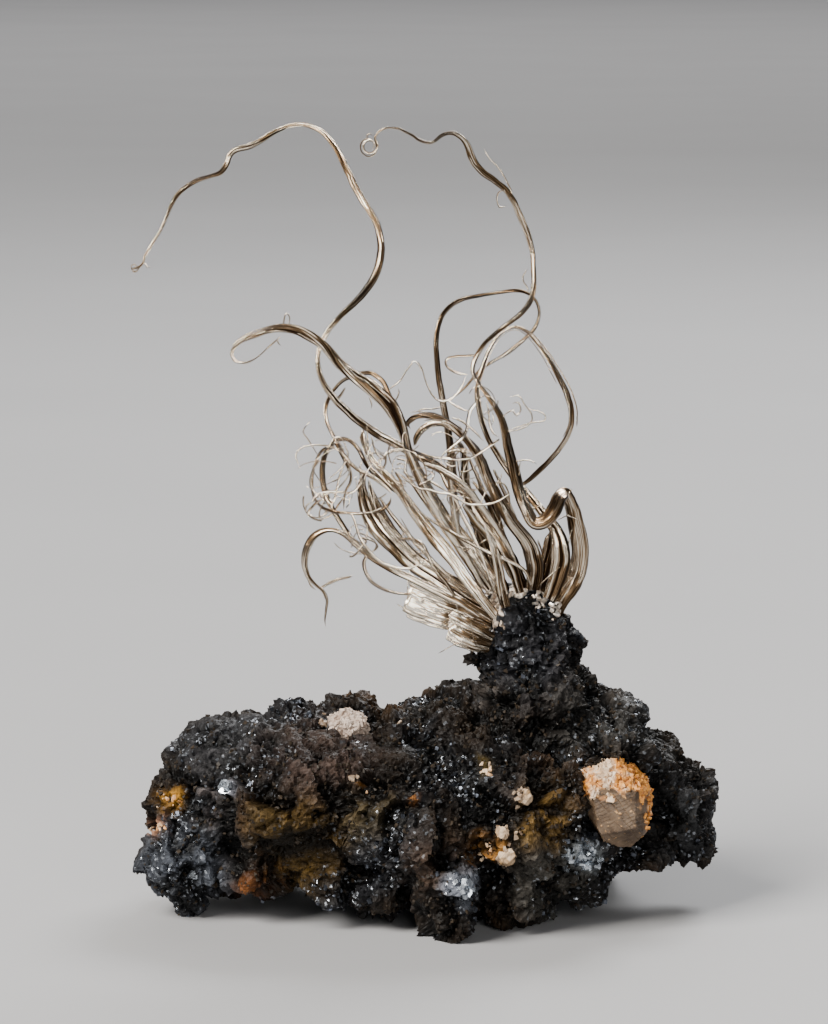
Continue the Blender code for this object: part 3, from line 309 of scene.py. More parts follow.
        (490, 627, -3.2, 3.4), (473, 620, -3.3, 5), (456, 614, -3.4, 6.2), (438, 608, -3.5, 7),
        (421, 601, -3.5, 7.4), (408, 595, -3.5, 7), (401, 592, -3.5, 6.2),
    )),
    "frayed_stub": (0.26, (
        (491, 643, -4.2, 3), (478, 638, -5.4, 4.2), (465, 632, -5.9, 4.6), (453, 625, -6, 4.4),
        (444, 620, -6, 3.6),
    )),
    "drooping_hook": (0.6, (
        (479, 616, -6.2, 0.9), (461, 604, -6.6, 1.1), (445, 596, -6.4, 1.2), (428, 587, -6, 1.2),
        (410, 578, -5.6, 1.2), (393, 570, -5.2, 1.2), (378, 562, -4.8, 1.1), (364, 551.5, -4.3, 1.1),
        (352, 541, -3.9, 1), (341, 533, -3.5, 0.85), (330, 530, -3.3, 0.85), (319, 532.5, -3.1, 1.25),
        (311, 540, -3, 1.5), (306, 551, -3, 1.55), (304.5, 564, -3, 1.4), (308, 576, -3, 1.05),
        (316, 585, -3, 0.65), (323, 591, -3, 0.7), (327, 600, -3, 0.8), (326, 611, -3, 0.7),
        (325, 620, -3, 0.4), (326, 628, -3, 0.22),
    )),
    "hook_tine": (0.8, (
        (321, 588, -3.9, 0.4), (329, 583, -4.1, 0.45), (340, 579, -4.4, 0.38), (352, 576.5, -4.8, 0.25),
    )),
    "low_loop": (0.7, (
        (367, 556, -5.6, 0.6), (364, 563, -5.6, 0.65), (366, 573, -5.8, 0.65), (372, 582, -6.1, 0.65),
        (382, 588.5, -6.5, 0.65), (394, 592.5, -6.8, 0.6), (406, 594, -7, 0.55), (418, 592, -7.2, 0.4),
    )),
    "brown_strand": (0.7, (
        (355, 545, -2.6, 0.9), (348, 534, -2.2, 1), (340, 521, -1.7, 1), (332, 508, -1, 1),
        (326, 495, -0.4, 1.05), (322.5, 480, 0.2, 1.1), (322.5, 465, 0.9, 1.1), (326.5, 452, 2, 1.1),
        (334, 442.5, 3, 1), (343, 438.5, 3.2, 0.95), (352, 441.5, 3.1, 0.9), (359, 450, 2.8, 0.85),
        (364, 460, 2.5, 0.8), (370, 469, 2.3, 0.8), (379, 478, 2, 0.9), (389, 486, 1.6, 0.9),
        (395, 493, 1.2, 0.6),
    )),
    "outer_loop": (0.75, (
        (331, 448, 3.9, 0.5), (324, 449, 3.7, 0.55), (318, 456, 3.3, 0.5), (314, 468, 2.7, 0.5),
        (312, 482, 1.8, 0.5), (313, 494, 0.6, 0.55), (317.5, 503, -0.9, 0.6), (325, 509, -2.3, 0.7),
        (336, 512, -3.2, 0.75), (348, 513, -3.5, 0.7), (360, 513.5, -3.7, 0.65), (372, 512.5, -3.8, 0.65),
        (383, 509, -3.6, 0.6), (389.5, 503, -3.2, 0.5), (391, 497, -2.8, 0.4),
    )),
    "upper_left_strand": (0.7, (
        (393, 404, -1.6, 0.8), (387.5, 391, -0.8, 0.85), (382, 380.5, -0.2, 0.85), (373, 374, 0.3, 0.85),
        (363, 373, 1, 0.8), (352, 376.5, 2, 0.75), (343, 380.5, 2.7, 0.7), (336, 387, 3.1, 0.7),
        (330.5, 395, 3.3, 0.75), (326.5, 404, 3.3, 0.85), (325.5, 414, 3, 0.9), (328, 425, 2.5, 0.95),
        (333, 435, 1.7, 1), (338, 445.5, 1, 1.05), (343, 456, 0.8, 1), (348, 466, 0.8, 0.75),
        (351, 475, 0.8, 0.55), (350, 483, 0.8, 0.5), (346, 490, 0.8, 0.42), (344, 500, 0.8, 0.38),
        (344, 510, 0.6, 0.3),
    )),
    "long_fine_wire": (0.8, (
        (531, 584, -7, 0.6), (525, 571, -8, 0.6), (513, 563, -8.2, 0.6), (500, 557, -8.2, 0.6),
        (486, 551, -7.8, 0.6), (472, 544, -7.2, 0.6), (458, 536.5, -6.6, 0.6), (445, 529, -6.1, 0.55),
        (432, 521, -5.7, 0.55), (420, 512.5, -5.2, 0.5), (411, 503, -4.8, 0.5), (404, 492, -4.4, 0.5),
        (400, 480, -4, 0.45), (396, 471, -3.7, 0.35),
    )),
    "crossing_wire": (0.8, (
        (499, 439.5, -6.2, 0.35), (493, 444, -6.7, 0.4), (483, 451, -7.1, 0.42), (472, 457.5, -7.1, 0.42),
        (460, 459.5, -6.6, 0.42), (445, 458.5, -5.8, 0.42), (431, 456.5, -4.6, 0.42),
        (419, 452, -3.4, 0.42),
    )),
    "curved_white_wire": (0.6, (
        (475, 404, -0.4, 0.5), (470, 411, -2.2, 0.65), (468, 420, -4, 0.6), (467, 429, -5.8, 0.6),
        (463.5, 436.5, -6.6, 0.65), (457, 442.5, -6.9, 0.65), (450, 448, -7, 0.55), (444, 452, -7, 0.35),
    )),
    "inner_right_blade": (0.5, (
        (539, 594, 0.6, 2), (543, 574, 0.6, 2.2), (547, 556, 0.6, 2.1), (549, 541, 0.6, 1.8),
        (550, 531, 0.4, 1.2),
    )),
    "brown_inner_ribbon": (0.5, (
        (525, 590, -0.4, 1.6), (516, 568, -1.6, 1.8), (506, 548, -2.4, 1.9), (499, 530, -2.6, 1.8),
        (494, 513, -2.6, 1.7), (488, 500, -2.4, 1.4), (480, 490, -2.1, 1), (472, 480, -1.7, 0.6),
    )),
    "wavy_wire": (0.7, (
        (455, 596, -7.4, 0.6), (446, 583, -7.6, 0.7), (437, 573, -7.5, 0.75), (431, 563, -7.3, 0.75),
        (427, 553, -7, 0.75), (422, 544, -6.6, 0.75), (413, 539.5, -6.2, 0.75), (404, 539, -5.9, 0.65),
        (396, 542, -5.7, 0.4),
    )),
    "second_column": (0.7, (
        (501, 600, 6.4, 1), (487, 584, 8, 1), (474, 567, 8.6, 1), (464, 550, 8.6, 1),
        (458.5, 532, 8.2, 0.95), (457, 512, 7.6, 0.9), (456, 492, 7, 0.9), (455, 472, 6.4, 0.85),
        (454, 452, 5.8, 0.6), (453, 440, 5.4, 0.35),
    )),
    "rough_stalk": (0.8, (
        (506, 606, -6.6, 1.6), (501, 591, -7.4, 1.7), (498, 578, -7.8, 1.4), (497, 567, -8, 0.9),
    )),
}

# How each strand looks: ribs round it and how deep they are, brown tarnish at root and tip, turns of twist,
# fine threads along it, roughness, and for a torn sheet its bands and the slant of the tear
Look = namedtuple("Look", "ribs depth brown turns threads rough bands tear",
                  defaults=(4, 0.16, (0.25, 0.25), 0.3, 2, 0.12, 0, 0.0))
LOOKS = {
    "right_high_tendril": Look(5, 0.09, (0.45, 0.22), 0.8, 3),
    "left_high_tendril": Look(4, 0.32, (0.22, 0.42), 1.5, 5),
    "left_curl": Look(5, 0.3, (0.05, 0.28), 2, 7),
    "right_loop": Look(5, 0.24, (0.18, 0.36), 0.6, 5),
    "brown_loop": Look(4, 0.2, (0.25, 0.6), 0.5, 3),
    "second_column": Look(4, 0.2, (0.55, 0.25), 0.3, 2),
    "small_hook": Look(3, 0.12, (0.35, 0.35), 0, 0),
    "central_arch": Look(6, 0.16, (0.4, 0.28), 0.4, 7),
    "rough_arch": Look(5, 0.34, (0.5, 0.5), 0.6, 6, 0.45),
    "rough_blade": Look(6, 0.3, (0.6, 0.3), 0.3, 7, 0.45),
    "front_blade": Look(6, 0.14, (0, 0.16), 0.4, 9),
    "inner_blade": Look(6, 0.14, (0.12, 0), 0.1, 7),
    "left_blade": Look(8, 0.17, (0, 0.22), 0.15, 11),
    "back_left_blade": Look(5, 0.18, (0.35, 0.32), 0.2, 5),
    "broad_sheet": Look(7, 0.1, (0.42, 0.06), 0, 8, 0.2, 4, 0.22),
    "frayed_stub": Look(7, 0.1, (0.36, 0.06), 0, 6, 0.3, 3, 0.22),
    "inner_right_blade": Look(6, 0.18, (0.7, 0.4), 0.1, 6),
    "brown_inner_ribbon": Look(5, 0.22, (0.75, 0.42), 0.2, 6, 0.3),
    "rough_stalk": Look(5, 0.36, (0.2, 0.1), 0.2, 5, 0.5),
    "brown_strand": Look(4, 0.2, (0.35, 0.62), 0.6, 2),
    "outer_loop": Look(3, 0.18, (0.62, 0.4), 0.5, 1),
    "upper_left_strand": Look(4, 0.2, (0.5, 0.2), 0.6, 3),
    "long_fine_wire": Look(3, 0.12, (0.1, 0), 0.5, 0),
    "crossing_wire": Look(3, 0.12, (0.05, 0.05), 0.2, 0),
    "curved_white_wire": Look(3, 0.16, (-0.1, -0.1), 0.2, 1),
    "wavy_wire": Look(4, 0.2, (0.4, 0.2), 0.4, 1),
}
BAND_FLATNESS = 0.2
STRAND_SEED = 100  # and the strand's number

# Fine wires that no solid stands for: (column, row) points, depth at both ends, and width in millimetres
FINE_WIRES = (
    (((352, 514), (355, 522), (358, 533), (363, 543), (370, 552), (378, 560), (388, 565.5), (399, 568),
      (410, 568), (420, 563.5), (429, 558)), -4.6, -7.6, 0.5),
    (((398, 473), (409, 482), (420, 489), (431, 490.5), (441, 493), (450, 494), (459, 499), (468, 504),
      (479, 505), (490, 504), (501, 499.5), (511, 493)), -6.0, -8.4, 0.42),
    (((428, 480), (437, 485), (448, 492)), -6.0, -6.6, 0.45),
    (((418, 362), (423, 371), (427, 384), (432, 395), (439, 401), (447, 401), (455, 396), (461, 388),
      (465, 377)), -0.6, 0.0, 0.3),
    (((452, 418), (460, 420), (467, 425), (475, 432), (484, 441)), -5.6, -6.2, 0.4),
    (((449, 401), (457, 407), (464, 410), (470, 411)), -0.8, -2.4, 0.32),
    (((487, 402), (489, 414), (490, 425), (493, 433), (499, 437)), -4.8, -6.0, 0.32),
    (((341, 452), (348, 461), (356, 468), (365, 473), (375, 479), (385, 486), (392, 494)), -1.4, -3.0, 0.72),
    (((362, 462), (360, 468), (361, 478), (358, 487), (351, 493), (340, 492), (329, 492), (319, 494),
      (313, 499)), -1.6, -2.2, 0.4),
    (((341, 470), (339, 480), (336, 493), (333, 503), (327, 511), (321, 517)), -0.8, -2.8, 0.4),
    (((344, 497), (339, 504), (335, 511), (328, 517), (318, 520)), -2.0, -3.4, 0.4),
    (((323, 499), (315, 504), (309, 511), (308, 517)), -1.4, -2.6, 0.45),
    (((372, 437), (374, 447), (378, 455), (383, 460)), -2.2, -2.6, 0.34),
    (((367, 424), (368, 440), (370, 460), (376, 478)), -1.8, -2.8, 0.26),
    (((345, 388), (340, 396), (333, 403)), 1.2, 1.8, 0.5),
    (((307, 575), (311, 585), (316, 590)), -3.8, -3.8, 0.4),
    (((500, 596), (498, 580), (496, 568), (494, 556), (490, 540), (484, 524)), -8.2, -8.4, 0.8),
    (((507, 594), (503, 575), (500, 562), (497, 548)), -8.8, -9.0, 0.6),
    (((440, 470), (446, 484), (455, 500), (463, 516), (472, 534), (482, 556), (494, 590)), -3.2, -6.6, 0.7),
    (((404, 470), (414, 486), (426, 503), (440, 522), (455, 543), (470, 565), (490, 596)), -1.0, -3.4, 0.8),
    (((380, 498), (392, 515), (407, 533), (424, 552), (444, 572), (466, 590), (488, 608)), 0.2, -0.4, 0.8),
    (((468, 456), (476, 474), (486, 496), (496, 520), (506, 545), (514, 570), (518, 594)), -0.6, 1.2, 0.8),
    (((494, 470), (504, 492), (514, 516), (522, 540), (528, 565), (530, 590)), -1.0, 0.6, 0.8),
    (((408, 452), (416, 470), (425, 490), (437, 512), (450, 534), (465, 556), (484, 590)), -5.6, -4.6, 1.7),
    (((448, 462), (450, 482), (453, 502), (455, 522), (462, 546), (476, 572)), -5.0, -3.0, 1.1),
    (((424, 463), (440, 470), (456, 480), (470, 492), (484, 510), (499, 532), (512, 556), (519, 584)),
     -6.4, -4.6, 1.2),
    (((464, 506), (474, 520), (488, 536), (502, 556), (512, 580)), -6.0, -5.0, 1.3),
    (((376, 139), (378, 146), (374, 152), (367, 153.5), (363, 148), (365, 141.5), (371, 140), (375, 144),
      (372, 150)), -3.4, -3.4, 0.42),
    (((540, 585), (553, 573), (560, 567)), -5.2, -5.6, 0.25),
    (((563, 588), (568, 582), (573, 577)), -4.0, -4.4, 0.25),
    (((573, 570), (569, 555), (568, 545), (573, 527)), -3.2, -1.6, 0.22),
    (((558, 520), (566, 516), (572, 517), (577, 519)), -5.8, -2.6, 0.22),
)
# Hairs: (column, row) points; the end that is nearest a strand springs from it
HAIRS = (
    ((311, 420), (303, 431), (307, 438), (311, 444)),
    ((370, 398), (372, 404), (371, 409)),
    ((392, 387), (400, 381), (406, 371), (410, 366), (415, 361), (424, 374)),
    ((397, 398), (399, 392), (398, 388)),
    ((418, 411), (424, 409), (432, 409), (438, 408), (445, 406)),
    ((484, 149), (489, 158), (495, 164), (500, 170), (505, 178), (512, 193)),
    ((499, 192), (497, 200), (500, 208), (506, 205)),
    ((528, 269), (523, 276), (524, 283), (528, 288)),
    ((510, 397), (519, 396), (525, 405), (531, 413), (532, 420), (527, 426), (517, 430)),
    ((529, 409), (538, 411), (545, 415), (544, 421), (530, 423)),
    ((512, 404), (518, 402), (521, 410), (516, 416), (512, 410)),
    ((518, 461), (528, 460), (537, 464)),
    ((521, 461), (519, 468), (520, 475)),
    ((496, 485), (500, 480), (502, 473)),
    ((283, 325), (286, 313), (290, 318), (288, 326)),
    ((277, 340), (279, 344), (281, 346)),
    ((400, 517), (406, 527), (412, 537), (418, 545)),
    ((530, 508), (535, 508), (533, 512), (538, 524)),
    ((568, 488), (571, 489), (571, 492)),
    ((366, 137), (369, 133), (373, 136)),
    ((141, 265), (136, 272), (132, 271), (135, 266)),
    ((144, 262), (148, 268), (151, 267)),
    ((138, 268), (134, 264), (131, 266), (133, 271), (138, 270)),
)
HAIR_WIDTH = 0.26

# Nests of fine loops in the tangle: (column, row), spread in pixels, depth, and how many
NESTS = (
    ((400, 468), 18, -4.8, 14),
    ((388, 459), 14, -4.6, 6),
    ((420, 476), 14, -5.6, 4),
    ((334, 468), 20, -1.8, 8),
    ((324, 505), 13, -2.2, 7),
    ((462, 468), 14, -6.6, 9),
    ((362, 540), 14, -4.8, 6),
    ((486, 404), 11, -4.4, 5),
    ((470, 520), 24, -5.6, 8),
    ((412, 552), 10, -7.2, 6),
)
LOOP_STEPS = 14
LOOP_SEED = 7

# Mineral grains: dark and pale colour, roughness, how metallic, and patches of one shade to the metre
GRAIN_FINISHES = {
    "galena_blocks": ((0.009, 0.010, 0.012), (0.100, 0.111, 0.137), 0.30, 0.9, 900.0),
    "ore_crumbs": ((0.004, 0.0035, 0.003), (0.026, 0.018, 0.011), 0.5, 0.0, 700.0),
    "silver_nuggets": ((0.32, 0.22, 0.15), (0.95, 0.88, 0.78), 0.4, 0.9, 900.0),
    "bright_galena": ((0.10, 0.115, 0.14), (0.56, 0.61, 0.66), 0.26, 0.9, 600.0),
    "buff_chips": ((0.10, 0.058, 0.032), (0.37, 0.28, 0.20), 0.45, 0.0, 700.0),
    "orange_grains": ((0.42, 0.15, 0.016), (0.62, 0.48, 0.33), 0.5, 0.0, 330.0),
    "white_quartz": ((0.17, 0.108, 0.075), (0.47, 0.39, 0.33), 0.45, 0.0, 900.0),
    "yellow_quartz": ((0.20, 0.11, 0.04), (0.50, 0.39, 0.28), 0.45, 0.0, 500.0),
}
# How grains are scattered: shape, finish, slot, grains to the square metre, smallest and largest, seed
SCATTERS = {
    "galena_grains": ("block", "galena_blocks", "ore", 3.4e5, 0.2, 0.85, 2),
    "crumb_grains": ("chip", "ore_crumbs", "ore", 2.7e5, 0.25, 0.75, 4),
    "bright_grains": ("block", "bright_galena", "ore", 1.5e6, 0.4, 1.4, 8),
    "pale_chips": ("chip", "buff_chips", "quartz", 1.3e6, 0.3, 1.1, 12),
    "orange_chips": ("chip", "orange_grains", "calcite", 9.0e5, 0.3, 0.9, 14),
    "silver_crust": ("chip", "silver_nuggets", "silver", 3.6e6, 0.3, 1.05, 6),
    "calcite_crust": ("chip", "stained_crust", "calcite", 4.2e6, 0.25, 1.2, 5),
    "quartz_points": ("chip", "white_quartz", "quartz", 3.2e6, 0.35, 1.05, 9),
}
# Where some of them lie on the rock's front: (column, row, radius in pixels)
CHIP_PLACES = {
    "bright_grains": ((584, 858, 13), (226, 788, 5), (464, 886, 8), (196, 872, 4)),
    "pale_chips": (
        (521, 795, 7), (529, 791, 4), (503, 831, 5), (516, 836, 4), (507, 852, 6), (505, 862, 5),
        (353, 779, 3), (324, 724, 4), (484, 764, 4), (402, 733, 3),
    ),
    "orange_chips": (
        (364, 787, 4), (486, 771, 5), (481, 858, 5), (170, 800, 7), (158, 826, 6), (490, 846, 4),
    ),
    "silver_crust": (
        (488, 614, 15), (497, 598, 10), (541, 599, 8), (557, 611, 7), (482, 634, 8), (520, 588, 9),
    ),
}

# Crystals on the rock: (column, row, depth) and half sizes in millimetres
CALCITE_PLACE, CALCITE_HALF = (613, 803, -17.4), (6.6, 6.2, 7.5)
# Its faces: the way each looks (x, y, z), and its distance from the middle as a share of the half sizes
CALCITE_FACES = {
    "front": (-0.06, -1.0, 0.02, 0.76),
    "front_left": (-0.84, -0.60, -0.10, 0.82),
    "front_right": (0.86, -0.52, 0.05, 0.88),
    "front_top": (0.02, -0.80, 0.60, 0.80),
    "front_low": (0.10, -0.62, -0.80, 0.90),
    "left": (-1.0, 0.05, 0.25, 0.95),
    "right": (1.0, 0.10, -0.15, 0.93),
    "left_top": (-0.60, -0.22, 0.80, 0.93),
    "right_top": (0.66, -0.20, 0.72, 0.84),
    "left_low": (-0.86, -0.20, -0.56, 0.74),
    "right_low": (0.66, -0.16, -0.78, 1.08),
    "back_left": (-0.7, 0.8, 0.0, 0.92),
    "back_right": (0.7, 0.8, 0.0, 0.92),
    "back_top": (0.0, 0.8, 0.7, 0.92),
    "back_low": (0.0, 0.8, -0.7, 0.92),
}
QUARTZ_PLACE, QUARTZ_HALF = (348, 727, -8), (4.0, 3.6, 3.4)
GRAINS = {
    "white_grain_upper": ((524, 797, -26.4), 1.5),
    "white_grain_lower": ((503, 833, -28.6), 1.3),
    "yellow_grain": ((507, 857, -28.6), 1.6),
}
CALCITE_STAIN_ROW, CALCITE_STAIN_COLUMN = 799, 644
CALCITE_DETAIL = 0.00018
CLEAVAGE = (((0.80, 0.10, 0.59), 0.0011, 0.00016), ((-0.42, 0.2, 0.88), 0.0006, 0.00008))  # way, step, depth
CRUST_CREAM_COLUMN = 603  # the crust's palest part
GOLDEN_ANGLE = math.pi * (3 - math.sqrt(5))

# The studio: each softbox's place, size, power, colour and target
SOFTBOXES = {
    "key_left": ((-0.95, -0.85, 1.15), (0.85, 0.85), 96.0, (1.0, 0.96, 0.90), (0, 0, 0.06)),
    "front_wash": ((0.45, -1.55, 0.55), (0.9, 0.7), 17.0, (1.0, 0.98, 0.95), (0, 0, 0.06)),
    "rim_back": ((0.5, 1.0, 1.0), (0.6, 0.4), 22.0, (1.0, 1.0, 1.0), (0, 0, 0.06)),
    "far_floor_wash": ((0, 3.8, 2.2), (4.0, 3.6), 116.0, (1.0, 0.98, 0.96), (0, 3.8, 0)),
}
AIR_COLOUR, AIR_STRENGTH = (0.60, 0.63, 0.68, 1), 0.15
FLOOR_DARK, FLOOR_PALE = (0.265, 0.265, 0.272, 1), (0.295, 0.295, 0.302, 1)
FLOOR_HALF = 30.0


def spot(column, row, depth):
    """The point in metres that shows at a pixel of the front view, depth millimetres behind the middle."""
    aside = Vector(((column - FRAME_COLUMNS / 2) * SLOPE, 0, 0))
    sight = AHEAD + aside + ABOVE * ((FRAME_ROWS / 2 - row) * SLOPE)
    return EYE + sight * ((VIEW_TARGET.y + depth * MM - EYE.y) / sight.y)


def fanned(column, row, depth):
    """The place of a silver station, with its depth widened away from the neck."""
    away = math.dist((column, row), (NECK_COLUMN, NECK_ROW)) / 100
    return spot(column, row, depth * (1 + FAN_RATE * away))


def view_pixels(points):
    """Column and row at which each point shows in the front view."""
    ahead = np.array((0, math.cos(VIEW_ELEVATION), -math.sin(VIEW_ELEVATION)))
    above = np.array((0, math.sin(VIEW_ELEVATION), math.cos(VIEW_ELEVATION)))
    from_eye = points - (np.array(VIEW_TARGET) - VIEW_DISTANCE * ahead)
    reach = from_eye @ ahead
    columns = FRAME_COLUMNS / 2 + from_eye[:, 0] / reach / SLOPE
    rows = FRAME_ROWS / 2 - (from_eye @ above) / reach / SLOPE
    return columns, rows


# Meshes and pieces

def add_piece(name, data):
    piece = bpy.data.objects.new(name, data)
    bpy.context.scene.collection.objects.link(piece)
    return piece


def piece_from(name, shape):
    """A piece made of a bmesh, which is spent."""
    mesh = bpy.data.meshes.new(name)
    shape.to_mesh(mesh)
    shape.free()
    return add_piece(name, mesh)


def declare(piece, stands_for=None):
    """Puts a finished piece on the body, and in the place of its solid."""
    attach(piece, "root")
    if stands_for:
        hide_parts(stands_for)


def dressed_piece(name, mesh, finish, stands_for):
    mesh.materials.append(bpy.data.materials[finish])
    piece = add_piece(name, mesh)
    declare(piece, stands_for)
    return piece


def evaluated_mesh(piece):
    """The piece's mesh with its modifiers spent; the piece itself is removed."""
    graph = bpy.context.evaluated_depsgraph_get()
    mesh = bpy.data.meshes.new_from_object(piece.evaluated_get(graph))
    bpy.data.objects.remove(piece, do_unlink=True)
    return mesh


def rows_of(items, field):
    """A field of three numbers of each item, as rows."""
    flat = np.empty(len(items) * 3)
    items.foreach_get(field, flat)
    return flat.reshape(-1, 3)


def points_and_normals(mesh):
    return rows_of(mesh.vertices, "co"), rows_of(mesh.vertex_normals, "vector")


def at_points(points, measure):
    """What a function of a place gives at each point."""
    return np.array([measure(Vector(p)) for p in points])


def place_points(mesh, points):
    mesh.vertices.foreach_set("co", points.ravel())
    mesh.update()


def pressed_into(points, box):
    """The points, with what wanders out of a box pressed back to its sides."""
    lowest, highest = (np.array(corner) for corner in box)
    return np.clip(points, lowest, highest)


def keep_in_box(mesh):
    place_points(mesh, pressed_into(rows_of(mesh.vertices, "co"), CAD_BOX))


def keep_values(mesh, name, values):
    """Stores one number a point on a mesh."""
    kept = mesh.attributes.get(name) or mesh.attributes.new(name, "FLOAT", "POINT")
    kept.data.foreach_set("value", values)


def add_voxel_skin(piece, size):
    skin = piece.modifiers.new("fine_skin", "REMESH")
    skin.mode = "VOXEL"
    skin.voxel_size = size


# Node trees

class Flow:
    """A value on its way through a node tree; sums and products of it add the nodes that reckon them."""

    def __init__(self, tree, socket):
        self.tree, self.socket = tree, socket

    def maths(self, operation, other=0.0):
        return reckoned(self.tree, operation, self, other)

    def __add__(self, other):
        return self.maths("ADD", other)

    def __sub__(self, other):
        return self.maths("SUBTRACT", other)

    def __rsub__(self, other):
        return reckoned(self.tree, "SUBTRACT", other, self)

    def __mul__(self, other):
        return self.maths("MULTIPLY", other)

    def __truediv__(self, other):
        return self.maths("DIVIDE", other)

    def ramp(self, low, high, start=0.0, end=1.0):
        """The start under low, the end over high, and even between."""
        return flow(self.tree, "ShaderNodeMapRange", {0: self, 1: low, 2: high, 3: start, 4: end})


def node(tree, kind, inputs=None, **settings):
    """A node of a tree: inputs are plain values or flows, by name or number."""
    made = tree.nodes.new(kind)
    for key, value in settings.items():
        setattr(made, key, value)
    for key, value in (inputs or {}).items():
        if isinstance(value, Flow):
            tree.links.new(value.socket, made.inputs[key])
        else:
            made.inputs[key].default_value = value
    return made


def flow(tree, kind, inputs=None, output=0, **settings):
    """One output of a new node."""
    return Flow(tree, node(tree, kind, inputs, **settings).outputs[output])


def reckoned(tree, operation, first, second):
    return flow(tree, "ShaderNodeMath", {0: first, 1: second}, operation=operation)


def vectors(tree, operation, first, second):
    return flow(tree, "ShaderNodeVectorMath", {0: first, 1: second}, operation=operation)


def scaled(tree, vector, factor):
    return flow(tree, "ShaderNodeVectorMath", {0: vector, "Scale": factor}, operation="SCALE")


def noise_at(tree, where, scale, detail, roughness=0.5, output=0):
    settings = {"Vector": where, "Scale": scale, "Detail": detail, "Roughness": roughness}
    return flow(tree, "ShaderNodeTexNoise", settings, output)


def drawn_out(tree, around, along, rate):
    """A place on a strand's skin: where it lies round the section, and how far along, at a rate."""
    lengthwise = flow(tree, "ShaderNodeCombineXYZ", {2: along * rate})
    return vectors(tree, "ADD", around, lengthwise)


# Geometry trees

SOCKETS = {int: "NodeSocketInt", float: "NodeSocketFloat", type(None): "NodeSocketObject"}


def new_tree(name, sizes):
    """A Geometry Nodes tree that takes a geometry, the named sizes and a material; gives both."""
    tree = bpy.data.node_groups.new(name, "GeometryNodeTree")
    faces = tree.interface
    faces.new_socket("Geometry", in_out="INPUT", socket_type="NodeSocketGeometry")
    for label, usual in sizes.items():
        socket = faces.new_socket(label, in_out="INPUT", socket_type=SOCKETS[type(usual)])
        if usual is not None:
            socket.default_value = usual
    faces.new_socket("Material", in_out="INPUT", socket_type="NodeSocketMaterial")
    faces.new_socket("Geometry", in_out="OUTPUT", socket_type="NodeSocketGeometry")
    given = tree.nodes.new("NodeGroupInput")
    return tree, {output.name: Flow(tree, output) for output in given.outputs if output.name}


def closed_tree(tree, given, geometry):
    """Ends a tree in Realize Instances and Set Material."""
    realized = flow(tree, "GeometryNodeRealizeInstances", {"Geometry": geometry})
    parts = {"Geometry": realized, "Material": given["Material"]}
    dressed = flow(tree, "GeometryNodeSetMaterial", parts)
    tree.links.new(dressed.socket, tree.nodes.new("NodeGroupOutput").inputs[0])
    return tree


def grow(piece, tree, **values):
    """Runs a tree on a piece with the given inputs, written with underscores, and gives its mesh."""
    modifier = piece.modifiers.new(tree.name, "NODES")
    modifier.node_group = tree
    wanted = {label.replace("_", " ").lower(): value for label, value in values.items()}
    for item in tree.interface.items_tree:
        if item.in_out == "INPUT" and item.name.lower() in wanted:
            modifier[item.identifier] = wanted[item.name.lower()]
    return evaluated_mesh(piece)


def stored(tree, geometry, name, value, kind="FLOAT"):
    parts = {"Geometry": geometry, "Name": name, "Value": value}
    return flow(tree, "GeometryNodeStoreNamedAttribute", parts, data_type=kind, domain="POINT")


def recalled(tree, name, kind="FLOAT"):
    return flow(tree, "GeometryNodeInputNamedAttribute", {"Name": name}, data_type=kind)


def moved(tree, geometry, **change):
    return flow(tree, "GeometryNodeSetPosition", {"Geometry": geometry, **change})


# The striated silver

def ribbed_profile(tree, given):
    """A flattened ring with uneven ribs, which carries where each point lies and how deep in a groove."""
    size = {"Resolution": given["Points Around"], "Radius": 1.0}
    ring = flow(tree, "GeometryNodeCurvePrimitiveCircle", size)
    place = flow(tree, "GeometryNodeInputPosition")
    x, y = (flow(tree, "ShaderNodeSeparateXYZ", {0: place}, axis) for axis in (0, 1))
    angle = y.maths("ARCTAN2", x)
    uneven = angle + (angle * 2.0 + given["Phase"]).maths("SINE") * 0.30
    half_turns = uneven * (given["Ribs"] * 0.5)
    bulge = half_turns.maths("COSINE").maths("ABSOLUTE")
    fine = (half_turns * 3.0).maths("COSINE").maths("ABSOLUTE")
    dip = 1.0 - (bulge * 0.6 + fine * 0.4)
    patch = noise_at(tree, vectors(tree, "ADD", place, given["Phase"]), 2.6, 1.0)
    deep = given["Rib Depth"] * 0.35 + patch.ramp(0.36, 0.68) * given["Rib Depth"]
    corner = x * y
    squared = (1.0 - corner * corner * 2.0).maths("POWER", -0.2)
    reach = squared * (1.0 - dip * deep)
    wide, tall = x * reach * 0.5, y * reach * 0.5 * given["Flatness"]
    kept = stored(tree, ring, "around", place, "FLOAT_VECTOR")
    kept = stored(tree, kept, "groove", dip * (deep * 5.5).maths("MINIMUM", 1.0))
    return moved(tree, kept, Position=flow(tree, "ShaderNodeCombineXYZ", {0: wide, 1: tall}))


